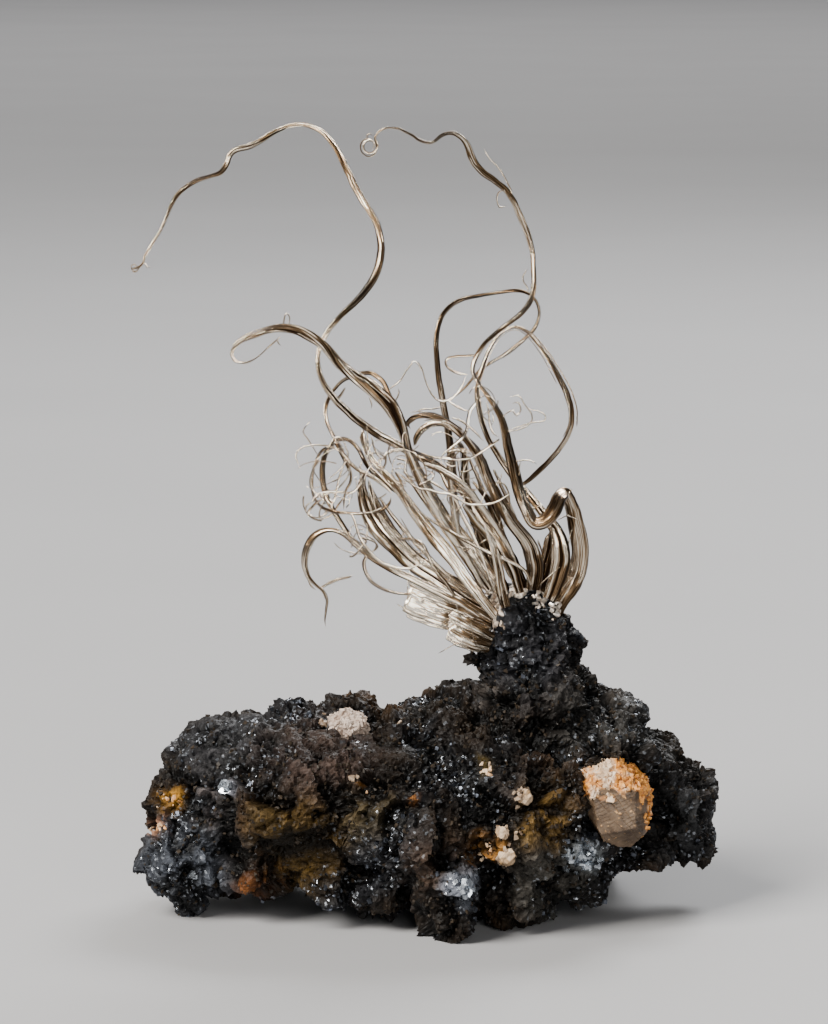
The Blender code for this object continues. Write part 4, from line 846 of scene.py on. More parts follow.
def strand_path(tree, given):
    """The curve smoothed, ringed and set wandering, with its width, its length and its brown kept on it."""
    smooth = flow(tree, "GeometryNodeCurveSplineType", {0: given["Geometry"]}, spline_type="CATMULL_ROM")
    spacing = {0: smooth, "Length": given["Ring Spacing"]}
    rings = flow(tree, "GeometryNodeResampleCurve", spacing, mode="LENGTH")
    facing = flow(tree, "GeometryNodeSetCurveNormal", {0: rings}, mode="Z_UP")
    drift = noise_at(tree, flow(tree, "GeometryNodeInputPosition"), 420.0, 2.0, output="Color")
    centred = vectors(tree, "SUBTRACT", drift, (0.5, 0.5, 0.5))
    wandering = moved(tree, facing, Offset=scaled(tree, centred, given["Wander"]))
    run, share = (flow(tree, "GeometryNodeSplineParameter", output=name) for name in ("Length", "Factor"))
    to_tip = flow(tree, "GeometryNodeSplineLength", output="Length") - run
    closing = (to_tip / given["Tip Length"] + 0.04).maths("MINIMUM", 1.0).maths("SQRT")
    width = flow(tree, "GeometryNodeInputRadius") * closing
    kept = flow(tree, "GeometryNodeSetCurveRadius", {0: wandering, "Radius": width})
    brown = (given["Brown Tip"] - given["Brown Root"]) * share + given["Brown Root"]
    for name, value in (("along", run), ("girth", width), ("brown", brown)):
        kept = stored(tree, kept, name, value)
    return kept


def striated_strand_tree():
    """Sweeps a ribbed, flattened section along curves whose radius is their width."""
    tree, given = new_tree("striated_strand", {
        "Points Around": 40, "Flatness": 0.6, "Ribs": 6.0, "Rib Depth": 0.2, "Ring Spacing": 0.0005,
        "Roughness Height": 0.05, "Wander": 0.0001, "Tip Length": 0.0008, "Phase": 0.0,
        "Brown Root": 0.2, "Brown Tip": 0.2,
    })
    path = strand_path(tree, given)
    girth = recalled(tree, "girth")
    sweep = {"Curve": path, "Profile Curve": ribbed_profile(tree, given), "Scale": girth, "Fill Caps": True}
    tube = flow(tree, "GeometryNodeCurveToMesh", sweep)
    skin = drawn_out(tree, recalled(tree, "around", "FLOAT_VECTOR"), recalled(tree, "along"), 260.0)
    height = (noise_at(tree, skin, 1.6, 3.0) - 0.5) * girth * given["Roughness Height"]
    outward = scaled(tree, flow(tree, "GeometryNodeInputNormal"), height)
    soft = flow(tree, "GeometryNodeSetShadeSmooth", {"Geometry": moved(tree, tube, Offset=outward)})
    return closed_tree(tree, given, soft)


def facing_turn():
    """Turns the curves' own frame, whose Z axis faces the view, to the specimen's."""
    return Matrix.Rotation(math.pi / 2 - VIEW_ELEVATION, 4, "X")


def curves_object(name, splines):
    """A curve object with one poly spline per list of (place, width in metres, tilt)."""
    curve = bpy.data.curves.new(name, "CURVE")
    curve.dimensions = "3D"
    to_local = facing_turn().inverted()
    for stations in splines:
        spline = curve.splines.new("POLY")
        spline.points.add(len(stations) - 1)
        for point, (place, width, tilt) in zip(spline.points, stations):
            point.co = (*(to_local @ place), 1)
            point.radius = width
            point.tilt = tilt
    return add_piece(name, curve)


def swept(name, splines, tree, **values):
    mesh = grow(curves_object(name, splines), tree, material=bpy.data.materials["striated_silver"], **values)
    mesh.transform(facing_turn())
    return mesh


def joined(name, meshes):
    """One piece from several meshes, with their attributes."""
    pieces = [add_piece(name, mesh) for mesh in meshes]
    if len(pieces) > 1:
        with bpy.context.temp_override(active_object=pieces[0], selected_editable_objects=pieces):
            bpy.ops.object.join()
    return pieces[0]


def main_stations(route, turns):
    last = len(route) - 1
    return [
        (fanned(column, row, depth), width * MM, math.tau * turns * (number / last) ** 1.5)
        for number, (column, row, depth, width) in enumerate(route)
    ]


def way_ahead(before, after):
    return Vector((after[0] - before[0], after[1] - before[1])).normalized()


def band_routes(route, look, dice):
    """A sheet as bands side by side: each with its own ragged end along the slanting tear."""
    shares = [dice.uniform(0.6, 1.4) for _ in range(look.bands)]
    routes, before_band = [], 0.0
    for number, share in enumerate(shares):
        share /= sum(shares)
        across = before_band + share / 2 - 0.5
        before_band += share
        left_off = look.tear * (0.5 + across)
        end = (len(route) - 1) * (1 - left_off - dice.uniform(0, 0.06))
        height = 0.10 * math.sin(number * 2.1) + dice.uniform(-0.06, 0.06)
        routes.append([
            aside_station(route, min(end, step / 2), across * 0.84, height, share * 1.6)
            for step in range(math.ceil(end * 2) + 1)
        ])
    return routes


def aside_station(route, place, across, height, share):
    """A station part of the way along a route and to its side, with a share of its width."""
    low = min(int(place), len(route) - 2)
    column, row, depth, width = (a + (b - a) * (place - low) for a, b in zip(route[low], route[low + 1]))
    ahead = way_ahead(route[max(0, low - 1)], route[min(len(route) - 1, low + 2)])
    aside = across * width * MM / PIXEL
    return (column + ahead.y * aside, row - ahead.x * aside, depth + height, width * share)


def thread_stations(flat, route, dice):
    """A fine thread that runs on a strand's face for part of its length and lifts off at one end."""
    count = len(route)
    length = max(3, int(count * dice.uniform(0.35, 0.9)))
    start = dice.randint(0, count - length)
    side = dice.uniform(-0.42, 0.42)
    lift = dice.choice((0.0, 0.0, 0.3, 0.8)) * dice.choice((-1, 1))
    face = dice.choice((-1, -1, 1))
    drift = dice.uniform(-0.12, 0.12)
    thick = dice.uniform(0.12, 0.26)
    stations = []
    for number in range(start, start + length):
        ahead = way_ahead(route[max(0, number - 1)], route[min(count - 1, number + 1)])
        column, row, depth, width = route[number]
        share = (number - start) / max(1, length - 1)
        aside = (side + drift * share + lift * share ** 4) * (width * MM / PIXEL)
        on_face = flat * width / 2 * math.sqrt(max(0.0, 1 - (2 * side) ** 2))
        place = fanned(column - ahead.y * aside, row + ahead.x * aside, depth)
        place.y += face * (on_face * 0.92 + abs(lift) * share ** 4 * width * 0.3) * MM
        stations.append((place, thick * MM, 0.0))
    return stations


def make_strand(name, tree, number):
    flat, route = STRANDS[name]
    look = LOOKS.get(name, Look())
    dice = random.Random(STRAND_SEED + number)
    routes, flatness, tip = [route], flat, 0.0012
    if look.bands:
        routes, flatness, tip = band_routes(route, look, dice), BAND_FLATNESS, 0.0001
    brown_root, brown_tip = look.brown
    meshes = [swept(
        name, [main_stations(run, look.turns) for run in routes], tree,
        points_around=24 + 5 * look.ribs, flatness=flatness, ribs=float(look.ribs), rib_depth=look.depth,
        ring_spacing=0.00042, roughness_height=look.rough, wander=0.00022, tip_length=tip,
        phase=number * 1.3, brown_root=brown_root, brown_tip=brown_tip,
    )]
    threads = [thread_stations(flat, route, dice) for _ in range(look.threads)]
    if threads:
        meshes.append(swept(
            name + "_threads", threads, tree, points_around=7, flatness=0.9, ribs=2.0, rib_depth=0.1,
            ring_spacing=0.0006, roughness_height=0.2, wander=0.0003, tip_length=0.0006,
            phase=number * 0.7, brown_root=brown_root * 0.6, brown_tip=brown_tip * 0.6,
        ))
    piece = joined(name + "_silver", meshes)
    keep_in_box(piece.data)
    declare(piece, name)


def wire_stations(points, depth_start, depth_end, width):
    last = len(points) - 1
    stations = []
    for number, (column, row) in enumerate(points):
        share = number / last
        depth = depth_start + (depth_end - depth_start) * share
        taper = 1 - 0.5 * abs(2 * share - 1) ** 3
        stations.append((fanned(column, row, depth), width * MM * taper, 0.0))
    return stations


def rooted_stations(points):
    """A hair that springs from the middle of the strand nearest one of its ends, and keeps that depth."""
    places = [station for _, route in STRANDS.values() for station in route]

    def nearest(end):
        return min(places, key=lambda place: math.dist(place[:2], end))

    first, last = nearest(points[0]), nearest(points[-1])
    if math.dist(last[:2], points[-1]) < math.dist(first[:2], points[0]):
        points, first = points[::-1], last
    return wire_stations((first[:2], *points), first[2], first[2], HAIR_WIDTH)


def loop_stations(column, row, depth, spread, dice):
    """Part of a loose loop near a place in the tangle."""
    column += dice.gauss(0, spread * 0.5)
    row += dice.gauss(0, spread * 0.5)
    depth += dice.uniform(-1.2, 1.6)
    long_half = dice.uniform(0.7, 1.5) * spread
    short_half = long_half * dice.uniform(0.3, 0.8)
    lean = dice.uniform(0, math.tau)
    first = dice.uniform(0, math.tau)
    sweep = dice.choice((-1, 1)) * dice.uniform(1.4, 4.6)
    swell = dice.uniform(-0.4, 0.3)
    thick = dice.uniform(0.16, 0.38)
    stations = []
    for number in range(LOOP_STEPS):
        share = number / (LOOP_STEPS - 1)
        turn = first + sweep * share
        size = 1 + swell * share
        along, across = long_half * size * math.cos(turn), short_half * size * math.sin(turn)
        place = fanned(
            column + along * math.cos(lean) - across * math.sin(lean),
            row + along * math.sin(lean) + across * math.cos(lean),
            depth + 0.7 * math.sin(turn + 1),
        )
        stations.append((place, thick * MM * (1 - 0.35 * share), 0.0))
    return stations


def make_fine_silver(tree):
    wires = [wire_stations(*wire) for wire in FINE_WIRES]
    dice = random.Random(LOOP_SEED)
    hairs = [rooted_stations(points) for points in HAIRS]
    for (column, row), spread, depth, count in NESTS:
        hairs += [loop_stations(column, row, depth, spread, dice) for _ in range(count)]
    wire_look = dict(
        points_around=14, flatness=0.75, ribs=3.0, rib_depth=0.16, ring_spacing=0.0005,
        roughness_height=0.14, wander=0.0003, tip_length=0.0008, brown_root=0.12, brown_tip=0.05,
    )
    hair_look = dict(
        points_around=6, flatness=0.9, ribs=2.0, rib_depth=0.06, ring_spacing=0.0006,
        roughness_height=0.1, wander=0.00012, tip_length=0.0006, brown_root=0.2, brown_tip=0.1,
    )
    for name, splines, look in (("fine_wires", wires, wire_look), ("fine_hairs", hairs, hair_look)):
        mesh = swept(name, splines, tree, **look)
        keep_in_box(mesh)
        declare(add_piece(name, mesh))


# The rock

def facet_height(point, cell_size, tilt):
    """Height of a flat, tilted face on the Voronoi cell that holds the point."""
    scaled_point = point / cell_size
    seed = noise.voronoi(scaled_point)[1][0]
    lean = noise.cell_vector(seed * 7.3) - Vector((0.5, 0.5, 0.5))
    return (scaled_point - seed).dot(lean) * tilt * 2 * cell_size


def crack_depth(point, cell_size, depth, share):
    """Depth of the crevices that part the Voronoi cells, as between blocks of a broken rock."""
    nearest, second = noise.voronoi(point / cell_size)[0][:2]
    return depth * max(0.0, 1 - (second - nearest) / share)


def rock_relief(point):
    """Swells, tilted faces, crevices and crumbs, the finest of them strong here and weak there."""
    height = SWELL_HEIGHT * noise.fractal(point / SWELL_SIZE, 1.0, 2.0, 3)
    for cell_size, tilt in FACETS:
        height += facet_height(point, cell_size, tilt)
    grain = min(1.25, max(0.25, 0.75 + 1.3 * noise.noise(point / PATCH_SIZE)))
    for cell_size, tilt in FINE_FACETS:
        height += grain * facet_height(point, cell_size, tilt)
    for cell_size, depth, share in CRACKS:
        height -= grain * crack_depth(point, cell_size, depth, share)
    return height + grain * CRUMBLE_HEIGHT * noise.fractal(point / CRUMBLE_SIZE, 0.6, 2.1, 3)


def pit_depth(point):
    depth = 0.0
    for column, row, behind, reach, deep in ROCK_PITS.values():
        away = (point - spot(column, row, behind)).length / (reach * MM)
        depth += deep * MM * max(0.0, 1 - away * away) ** 2
    return depth


def lump_cluster():
    """Every rock lump as an ellipsoid, all in one piece."""
    cluster = bmesh.new()
    for column, row, depth, half_x, half_y, half_z in ROCK_LUMPS.values():
        ball = bmesh.ops.create_icosphere(cluster, subdivisions=4, radius=1.0)["verts"]
        bmesh.ops.scale(cluster, vec=Vector((half_x, half_y, half_z)) * MM, verts=ball)
        bmesh.ops.translate(cluster, vec=spot(column, row, depth), verts=ball)
    return piece_from("lump_cluster", cluster)


def mixed(first, second, share):
    return first * (1 - share[:, None]) + np.array(second) * share[:, None]


def ore_colours(points):
    """Colour and sparkle of the ore at each point: named zones in front, broad noise behind."""
    columns, rows = view_pixels(points)
    noise.seed_set(ZONE_SEED)
    ragged = at_points(points, lambda p: noise.noise_vector(p * 260))
    columns = columns + ragged[:, 0] * 13
    rows = rows + ragged[:, 1] * 13
    front = np.clip(0.5 - (points[:, 1] - 0.004) / 0.012, 0, 1)
    tone = at_points(points, lambda p: noise.fractal(p * 95 + Vector((3, 1, 5)), 0.8, 2.0, 3))
    rusty = at_points(points, lambda p: noise.fractal(p * 55 + Vector((9, 4, 2)), 0.9, 2.0, 3))
    rust_share = np.clip((rusty - 0.22) * 2.4, 0, 0.75) * (1 - 0.6 * front)
    colour = mixed(np.array(ORE_BLACK), ORE_BROWN, np.clip(0.5 + tone * 1.1, 0, 1))
    colour = mixed(colour, ORE_RUST, rust_share)
    sparkle = np.clip(0.35 - tone * 0.9, 0, 1) * (1 - rust_share)
    for (column, row), radius, zone_colour, strength, zone_sparkle in ORE_ZONES.values():
        away = ((columns - column) ** 2 + (rows - row) ** 2) / radius ** 2
        weight = np.exp(-away ** 1.6) * strength * front
        colour = mixed(colour, zone_colour, weight)
        sparkle = sparkle * (1 - weight) + zone_sparkle * weight
    return colour, sparkle


def make_rock():
    """The rock's fine skin, with the ore's colour, painted shade in its recesses and pits, and the sparkle
    on its points; gives it and the sparkle.
    """
    cluster = lump_cluster()
    add_voxel_skin(cluster, FINE_VOXEL)
    smooth = cluster.modifiers.new("blend_lumps", "SMOOTH")
    smooth.factor = 0.5
    smooth.iterations = 20
    mesh = evaluated_mesh(cluster)
    points, normals = points_and_normals(mesh)
    pits = at_points(points, pit_depth)
    relief = at_points(points, rock_relief) - pits
    points = pressed_into(points + normals * relief[:, None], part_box("ore_rock"))
    place_points(mesh, points)
    colour, sparkle = ore_colours(points)
    # Painted shade: the colour is darkened where the relief lies low, lighter where it stands high, and
    # darker again inside the pits
    painted_relief_shade = np.clip(0.45 + relief / 0.0016, 0, 1)
    shade = (0.03 + 0.52 * painted_relief_shade) * (1 - 0.7 * np.clip(pits / 0.002, 0, 1))
    colour_with_painted_shade = mesh.color_attributes.new("ore_colour_with_painted_shade", "FLOAT_COLOR", "POINT")
    rgba = np.column_stack((colour * shade[:, None], np.ones(len(points))))
    colour_with_painted_shade.data.foreach_set("color", rgba.ravel())
    keep_values(mesh, "sparkle", sparkle)
    return dressed_piece("ore_rock_fine", mesh, "sulphide_ore", "ore_rock"), sparkle


def near_spots(points, places):
    """1 at the middle of any of the (column, row, radius) places in front, and down to 0 outside."""
    columns, rows = view_pixels(points)
    weight = np.zeros(len(points))
    for column, row, radius in places:
        away = ((columns - column) ** 2 + (rows - row) ** 2) / radius ** 2
        weight = np.maximum(weight, np.exp(-away ** 2))
    return weight * (points[:, 1] < 0.002)


# Scattered grains

def scatter_tree():
    """Sets a grain on random points of a surface, turned and sized at random, where it is wanted."""
    tree, given = new_tree("scattered_grains", {
        "Grain": None, "Density": 40000.0, "Smallest": 0.4, "Largest": 1.0, "Seed": 1,
    })
    spread = flow(tree, "GeometryNodeDistributePointsOnFaces", {
        "Mesh": given["Geometry"],
        "Density": given["Density"] * recalled(tree, "wanted"),
        "Seed": given["Seed"],
    }, "Points")
    turns = {"Max": (math.tau, math.tau, math.tau), "Seed": given["Seed"]}
    sizes = {2: given["Smallest"], 3: given["Largest"], "Seed": given["Seed"]}
    set_out = flow(tree, "GeometryNodeInstanceOnPoints", {
        "Points": spread,
        "Instance": flow(tree, "GeometryNodeObjectInfo", {"Object": given["Grain"]}, "Geometry"),
        "Rotation": flow(tree, "FunctionNodeRandomValue", turns, data_type="FLOAT_VECTOR"),
        "Scale": flow(tree, "FunctionNodeRandomValue", sizes, 1, data_type="FLOAT"),
    })
    return closed_tree(tree, given, set_out)


def cut_off(block, place, outward):
    """Cuts a block's outer side off at a plane and closes the cut."""
    everything = block.verts[:] + block.edges[:] + block.faces[:]
    cut = bmesh.ops.bisect_plane(
        block, geom=everything, dist=1e-7, plane_co=place, plane_no=outward, clear_outer=True
    )
    rim = [item for item in cut["geom_cut"] if isinstance(item, bmesh.types.BMEdge)]
    bmesh.ops.holes_fill(block, edges=rim, sides=0)


def grain_shape(name, planes, seed, squash):
    """A small block one millimetre across, cut from a cube by a few planes."""
    block = bmesh.new()
    bmesh.ops.create_cube(block, size=1.0 * MM)
    dice = random.Random(seed)
    for _ in range(planes):
        outward = Vector((dice.gauss(0, 1), dice.gauss(0, 1), dice.gauss(0, 1))).normalized()
        cut_off(block, outward * dice.uniform(0.36, 0.5) * MM, outward)
    bmesh.ops.scale(block, vec=Vector((1, 1, squash)), verts=block.verts[:])
    return piece_from(name, block)


def scatter_on(name, surface, wanted, kit):
    """Grains on a copy of a surface, where they are wanted, as one piece without the surface itself."""
    shape, finish, slot, density, smallest, largest, seed = SCATTERS[name]
    ground = add_piece(name, surface.data.copy())
    keep_values(ground.data, "wanted", wanted)
    mesh = grow(ground, kit["tree"], grain=kit[shape], material=bpy.data.materials[finish],
                density=density, smallest=smallest, largest=largest, seed=seed)
    keep_in_box(mesh)
    declare(add_piece(name, mesh))


# Crystals

def even_planes(count, seed):
    """Planes that lie all round a block at uneven distances, each as its direction and distance."""
    planes = []
    for number in range(count):
        height = 1 - 2 * (number + 0.5) / count
        turn = number * GOLDEN_ANGLE + seed
        level = math.sqrt(1 - height * height)
        outward = Vector((level * math.cos(turn), level * math.sin(turn), height))
        planes.append((outward, 0.86 + 0.16 * noise.noise(outward * 3 + Vector((seed, 0, 0)))))
    return planes


def crystal(name, place, half, planes, detail, inward):
    """A block with flat crystal faces and a skin of small faces, pushed in by a function of the place."""
    block = bmesh.new()
    bmesh.ops.create_cube(block, size=2.0)
    for outward, reach in planes:
        cut_off(block, outward * reach, outward)
    bmesh.ops.scale(block, vec=Vector(half) * MM, verts=block.verts[:])
    bmesh.ops.translate(block, vec=spot(*place), verts=block.verts[:])
    piece = piece_from(name, block)
    add_voxel_skin(piece, detail)
    mesh = evaluated_mesh(piece)
    points, normals = points_and_normals(mesh)
    place_points(mesh, points - normals * at_points(points, inward)[:, None])
    return mesh


def cleavage_steps(point):
    """How far the calcite's skin lies in: parallel steps in two directions, in places, and a fine grain."""
    depth = 0.00008 + 0.00003 * (1 + noise.fractal(point * 1500, 0.8, 2.0, 2))
    for across, spacing, height in CLEAVAGE:
        where = min(1.0, max(0.0, 0.5 + 1.6 * noise.noise(point / (spacing * 4) + Vector(across) * 9)))
        bent = point.dot(Vector(across)) / spacing + 0.35 * noise.noise(point / (spacing * 2.5))
        depth += where * height * (bent % 1.0)
    return depth


def bumps(least, swing, rate, octaves):
    """Small bumps, as a depth at each place."""
    return lambda point: least + swing * noise.fractal(point * rate, 0.8, 2.0, octaves)


def make_calcite(kit):
    """The large crystal: flat faces with cleavage steps, and an orange granular crust over its top."""
    planes = [(Vector(face[:3]).normalized(), face[3]) for face in CALCITE_FACES.values()]
    mesh = crystal("calcite", CALCITE_PLACE, CALCITE_HALF, planes, CALCITE_DETAIL, cleavage_steps)
    points = rows_of(mesh.vertices, "co")
    columns, rows = view_pixels(points)
    edge = at_points(points, lambda p: noise.fractal(p * 330, 0.8, 2.0, 3))
    over_top = (CALCITE_STAIN_ROW - rows) / 10
    down_side = (columns - CALCITE_STAIN_COLUMN) / 8
    stain = np.clip(np.maximum(over_top, down_side) + edge * 1.5, 0, 1)
    keep_values(mesh, "stain", stain)
    piece = dressed_piece("calcite_fine", mesh, "cloudy_calcite", "calcite_crystal")
    scatter_on("calcite_crust", piece, stain ** 2, kit)


def make_quartz(kit):
    """The crust of white quartz, a lump covered with small crystals, and the three small grains."""
    skin = bumps(0.0004, 0.0004, 600, 3)
    lump = crystal("quartz", QUARTZ_PLACE, QUARTZ_HALF, even_planes(18, 0.4), 0.0003, skin)
    piece = dressed_piece("quartz_fine", lump, "white_quartz", "quartz_crust")
    scatter_on("quartz_points", piece, np.ones(len(lump.vertices)), kit)
    for name, (place, radius) in GRAINS.items():
        planes, skin = even_planes(10, radius), bumps(0.00012, 0.00016, 1300, 2)
        grain = crystal(name, place, (radius,) * 3, planes, 0.00016, skin)
        dressed_piece(name + "_fine", grain, "yellow_quartz", name)


# Finishes

def new_finish(name):
    material = bpy.data.materials.new(name)
    material.use_nodes = True
    return material, material.node_tree


def own_place(tree):
    """Where a point lies on the piece itself."""
    return flow(tree, "ShaderNodeTexCoord", output="Object")


def blend(share, first, second):
    """Mixes two colours, each a value or a flow, by a share from 0 to 1."""
    return flow(share.tree, "ShaderNodeMix", {0: share, 6: first, 7: second}, 2, data_type="RGBA")


def named(tree, name, output="Fac"):
    return flow(tree, "ShaderNodeAttribute", output=output, attribute_name=name)


def finished(material, colour, roughness, relief, strength, distance, levels, leaning=None):
    """Joins a finish's colour, roughness and relief to its shader, and sets the shader's own levels."""
    tree = material.node_tree
    shader = tree.nodes["Principled BSDF"]
    bump = {"Strength": strength, "Distance": distance, "Height": relief}
    if leaning:
        bump["Normal"] = leaning
    normal = flow(tree, "ShaderNodeBump", bump)
    for name, value in (("Base Color", colour), ("Roughness", roughness), ("Normal", normal)):
        tree.links.new(value.socket, shader.inputs[name])
    for name, level in levels.items():
        shader.inputs[name].default_value = level
    return shader


def silver_finish():
    """Pale striated silver: brown tarnish in drifts along each wire and in its grooves, where the dark brown
    is also painted shade; satin where it is clean.
    """
    material, tree = new_finish("striated_silver")
    skin = drawn_out(tree, named(tree, "around", "Vector"), named(tree, "along"), 120.0)
    streaks, lines = (
        noise_at(tree, vectors(tree, "MULTIPLY", skin, (across, across, along)), 1.0, 4.0, 0.65)
        for across, along in ((8.0, 0.5), (20.0, 0.6))
    )
    drifting = noise_at(tree, skin, 0.9, 3.0).ramp(0.49, 0.57) * 0.50
    stained = named(tree, "brown") * 0.85 + drifting
    lined = streaks.ramp(0.44, 0.60) * 0.40 + lines.ramp(0.54, 0.61) * 0.72
    # Tarnish together with painted shade: the deeper a point lies in a rib's groove, the darker brown it is
    # painted
    groove_tarnish_and_shade = named(tree, "groove").ramp(0.28, 0.66) * 1.1
    tarnish_and_painted_shade = (stained + lined + groove_tarnish_and_shade).ramp(0.26, 1.20)
    pale = blend(tarnish_and_painted_shade.ramp(0.0, 0.35), SILVER_PALE, SILVER_TAN)
    colour = blend(tarnish_and_painted_shade.ramp(0.34, 0.84), pale, SILVER_BROWN)
    roughness = (streaks + tarnish_and_painted_shade).ramp(0.3, 1.6, 0.13, 0.42)
    finished(material, colour, roughness, streaks * 0.6 + lines * 0.4, 0.75, 0.0001, {"Metallic": 1.0})


def ore_finish():
    """Dark sulphide ore: matt and granular, with small bright cleavage faces where it sparkles."""
    material, tree = new_finish("sulphide_ore")
    place = own_place(tree)
    speckle = noise_at(tree, place, 1700.0, 3.0, 0.7)
    mottle = noise_at(tree, place, 420.0, 4.0, 0.6)
    cells = flow(tree, "ShaderNodeTexVoronoi", {"Vector": place, "Scale": 2100.0}, "Color")
    chance = flow(tree, "ShaderNodeSeparateColor", {0: cells})
    bright = (chance + named(tree, "sparkle") * 0.24).ramp(1.02, 1.12)
    shade = speckle * 1.3 + mottle * 1.1
    # The point colour already carries the painted shade of the rock's recesses and pits
    base = scaled(tree, named(tree, "ore_colour_with_painted_shade", "Color"), shade.ramp(0.8, 1.65, 0.35, 1.75))
    crystal_colour = flow(tree, "ShaderNodeMix", {0: 0.55, 6: base, 7: CLEAVAGE_GREY}, 2, data_type="RGBA")
    colour = blend(bright, base, crystal_colour)
    off_middle = vectors(tree, "SUBTRACT", cells, (0.5, 0.5, 0.5))
    own_way = flow(tree, "ShaderNodeNewGeometry", output="Normal")
    tilted = flow(tree, "ShaderNodeVectorMath", {0: off_middle, 1: (0.7, 0.7, 0.7), 2: own_way},
                  operation="MULTIPLY_ADD")
    leaning = flow(tree, "ShaderNodeVectorMath", {0: tilted}, operation="NORMALIZE")
    shader = finished(material, colour, bright.ramp(0.0, 1.0, 0.5, 0.22), shade, 0.6, 0.0002,
                      {"Specular IOR Level": 0.1}, leaning)
    tree.links.new(bright.socket, shader.inputs["Metallic"])


def grain_finish(name, dark, pale, roughness, metallic, patches):
    """A mineral's grains: in patches of different shade, so many to the metre, with a fine mottle."""
    material, tree = new_finish(name)
    place = own_place(tree)
    coarse = flow(tree, "ShaderNodeTexVoronoi", {"Vector": place, "Scale": patches}, "Color")
    chance = flow(tree, "ShaderNodeSeparateColor", {0: coarse})
    mottle = noise_at(tree, place, 1300.0, 3.0)
    colour = blend((chance * 0.6 + mottle).ramp(0.3, 1.15), (*dark, 1), (*pale, 1))
    uneven = mottle.ramp(0.0, 1.0, roughness - 0.12, roughness + 0.12)
    levels = {"Metallic": metallic, "Specular IOR Level": 0.15}
    finished(material, colour, uneven, mottle, 0.4, 0.0001, levels)


def calcite_finish():
    """Cloudy grey-beige calcite that passes a little light, stained orange over its top."""
    material, tree = new_finish("cloudy_calcite")
    place = own_place(tree)
    cloud = noise_at(tree, place, 260.0, 5.0, 0.6)
    specks = noise_at(tree, place, 1400.0, 2.0)
    body = blend(cloud.ramp(0.38, 0.64), (0.032, 0.018, 0.009, 1), (0.135, 0.092, 0.058, 1))
    rust = blend(specks.ramp(0.35, 0.7), (0.46, 0.17, 0.035, 1), (0.74, 0.42, 0.17, 1))
    stained = named(tree, "stain") + specks.ramp(0.58, 0.76) * 0.6
    finished(material, blend(stained.ramp(0.2, 1.0), body, rust), cloud.ramp(0.0, 1.0, 0.3, 0.55), specks,
             0.45, 0.00015, {"Specular IOR Level": 0.3, "Subsurface Weight": 0.25, "Subsurface Scale": 1.0,
                             "Subsurface Radius": (0.0016, 0.0011, 0.0007)})


def crust_finish():
    """The granular crust over the calcite: cream in the middle, orange and rust towards its sides."""
    material, tree = new_finish("stained_crust")
    place = own_place(tree)
    across = flow(tree, "ShaderNodeSeparateXYZ", {0: place})
    aside = (across - spot(CRUST_CREAM_COLUMN, CALCITE_STAIN_ROW, CALCITE_PLACE[2]).x).maths("ABSOLUTE")
    mottle = noise_at(tree, place, 1500.0, 3.0)
    cream = blend(mottle, (0.33, 0.21, 0.12, 1), (0.66, 0.54, 0.40, 1))
    orange = blend(mottle.ramp(0.35, 0.65), (0.22, 0.068, 0.009, 1), (0.66, 0.29, 0.05, 1))
    stain = (aside * 170.0 + noise_at(tree, place, 420.0, 3.0) * 2.4).ramp(1.25, 1.75)
    colour = blend(stain, cream, orange)
    finished(material, colour, mottle.ramp(0.0, 1.0, 0.35, 0.6), mottle, 0.4, 0.0001, {})


def make_finishes():
    silver_finish()
    ore_finish()
    calcite_finish()
    crust_finish()
    for name, look in GRAIN_FINISHES.items():
        grain_finish(name, *look)


# The studio

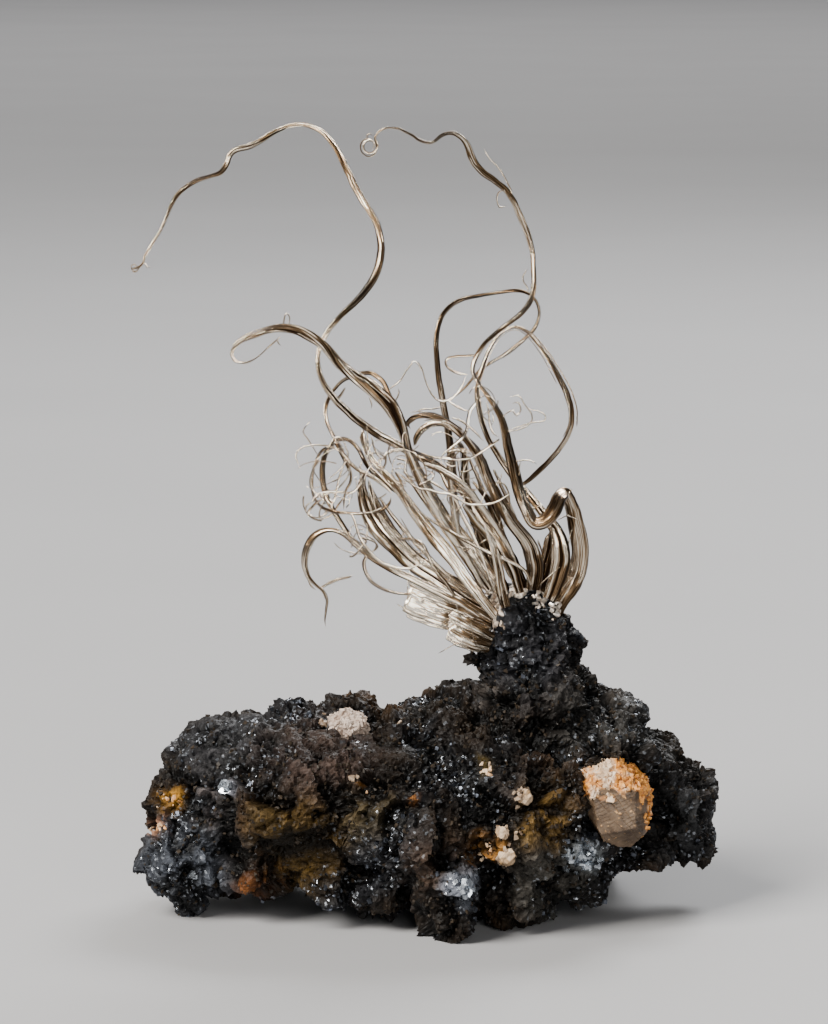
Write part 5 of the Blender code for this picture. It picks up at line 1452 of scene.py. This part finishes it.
def make_floor():
    material, tree = new_finish("pale_floor")
    place = own_place(tree)
    shader = tree.nodes["Principled BSDF"]
    tone = blend(noise_at(tree, place, 6.0, 2.0), FLOOR_DARK, FLOOR_PALE)
    tree.links.new(tone.socket, shader.inputs["Base Color"])
    shader.inputs["Roughness"].default_value = 0.7
    sheet = bmesh.new()
    bmesh.ops.create_grid(sheet, x_segments=2, y_segments=2, size=FLOOR_HALF)
    floor = piece_from("studio_floor", sheet)
    floor.data.materials.append(material)


def make_lights():
    for name, (place, size, power, colour, target) in SOFTBOXES.items():
        lamp = bpy.data.lights.new(name, "AREA")
        lamp.shape = "RECTANGLE"
        lamp.size, lamp.size_y = size
        lamp.energy = power
        lamp.color = colour
        softbox = add_piece(name, lamp)
        softbox.location = place
        aim = Vector(target) - Vector(place)
        softbox.rotation_euler = aim.to_track_quat("-Z", "Y").to_euler()
    world = bpy.data.worlds.new("studio_air")
    world.use_nodes = True
    air = world.node_tree.nodes["Background"].inputs
    air["Color"].default_value = AIR_COLOUR
    air["Strength"].default_value = AIR_STRENGTH
    bpy.context.scene.world = world


def make_camera():
    camera = bpy.data.cameras.new("front_camera")
    camera.sensor_width = SENSOR
    camera.lens = SENSOR / (FRAME_ROWS * PIXEL / VIEW_DISTANCE)
    camera.clip_start, camera.clip_end = 0.01, 60
    viewer = add_piece("front_camera", camera)
    viewer.location = EYE
    viewer.rotation_euler = (math.pi / 2 - VIEW_ELEVATION, 0, 0)
    bpy.context.scene.camera = viewer


def make_ore(kit):
    rock, sparkle = make_rock()
    scatter_on("galena_grains", rock, np.clip(sparkle - 0.2, 0, 1) ** 2, kit)
    scatter_on("crumb_grains", rock, np.clip(1 - sparkle, 0, 1), kit)
    points = rows_of(rock.data.vertices, "co")
    for name, places in CHIP_PLACES.items():
        scatter_on(name, rock, near_spots(points, places), kit)


def make_specimen():
    make_finishes()
    strand_tree = striated_strand_tree()
    for number, name in enumerate(STRANDS):
        make_strand(name, strand_tree, number)
    make_fine_silver(strand_tree)
    kit = {
        "tree": scatter_tree(),
        "block": grain_shape("block_grain", 3, 3, 0.9),
        "chip": grain_shape("chip_grain", 6, 8, 0.7),
    }
    make_ore(kit)
    make_calcite(kit)
    make_quartz(kit)
    for shape in ("block", "chip"):
        bpy.data.objects.remove(kit[shape], do_unlink=True)


make_camera()
make_floor()
make_lights()
make_specimen()
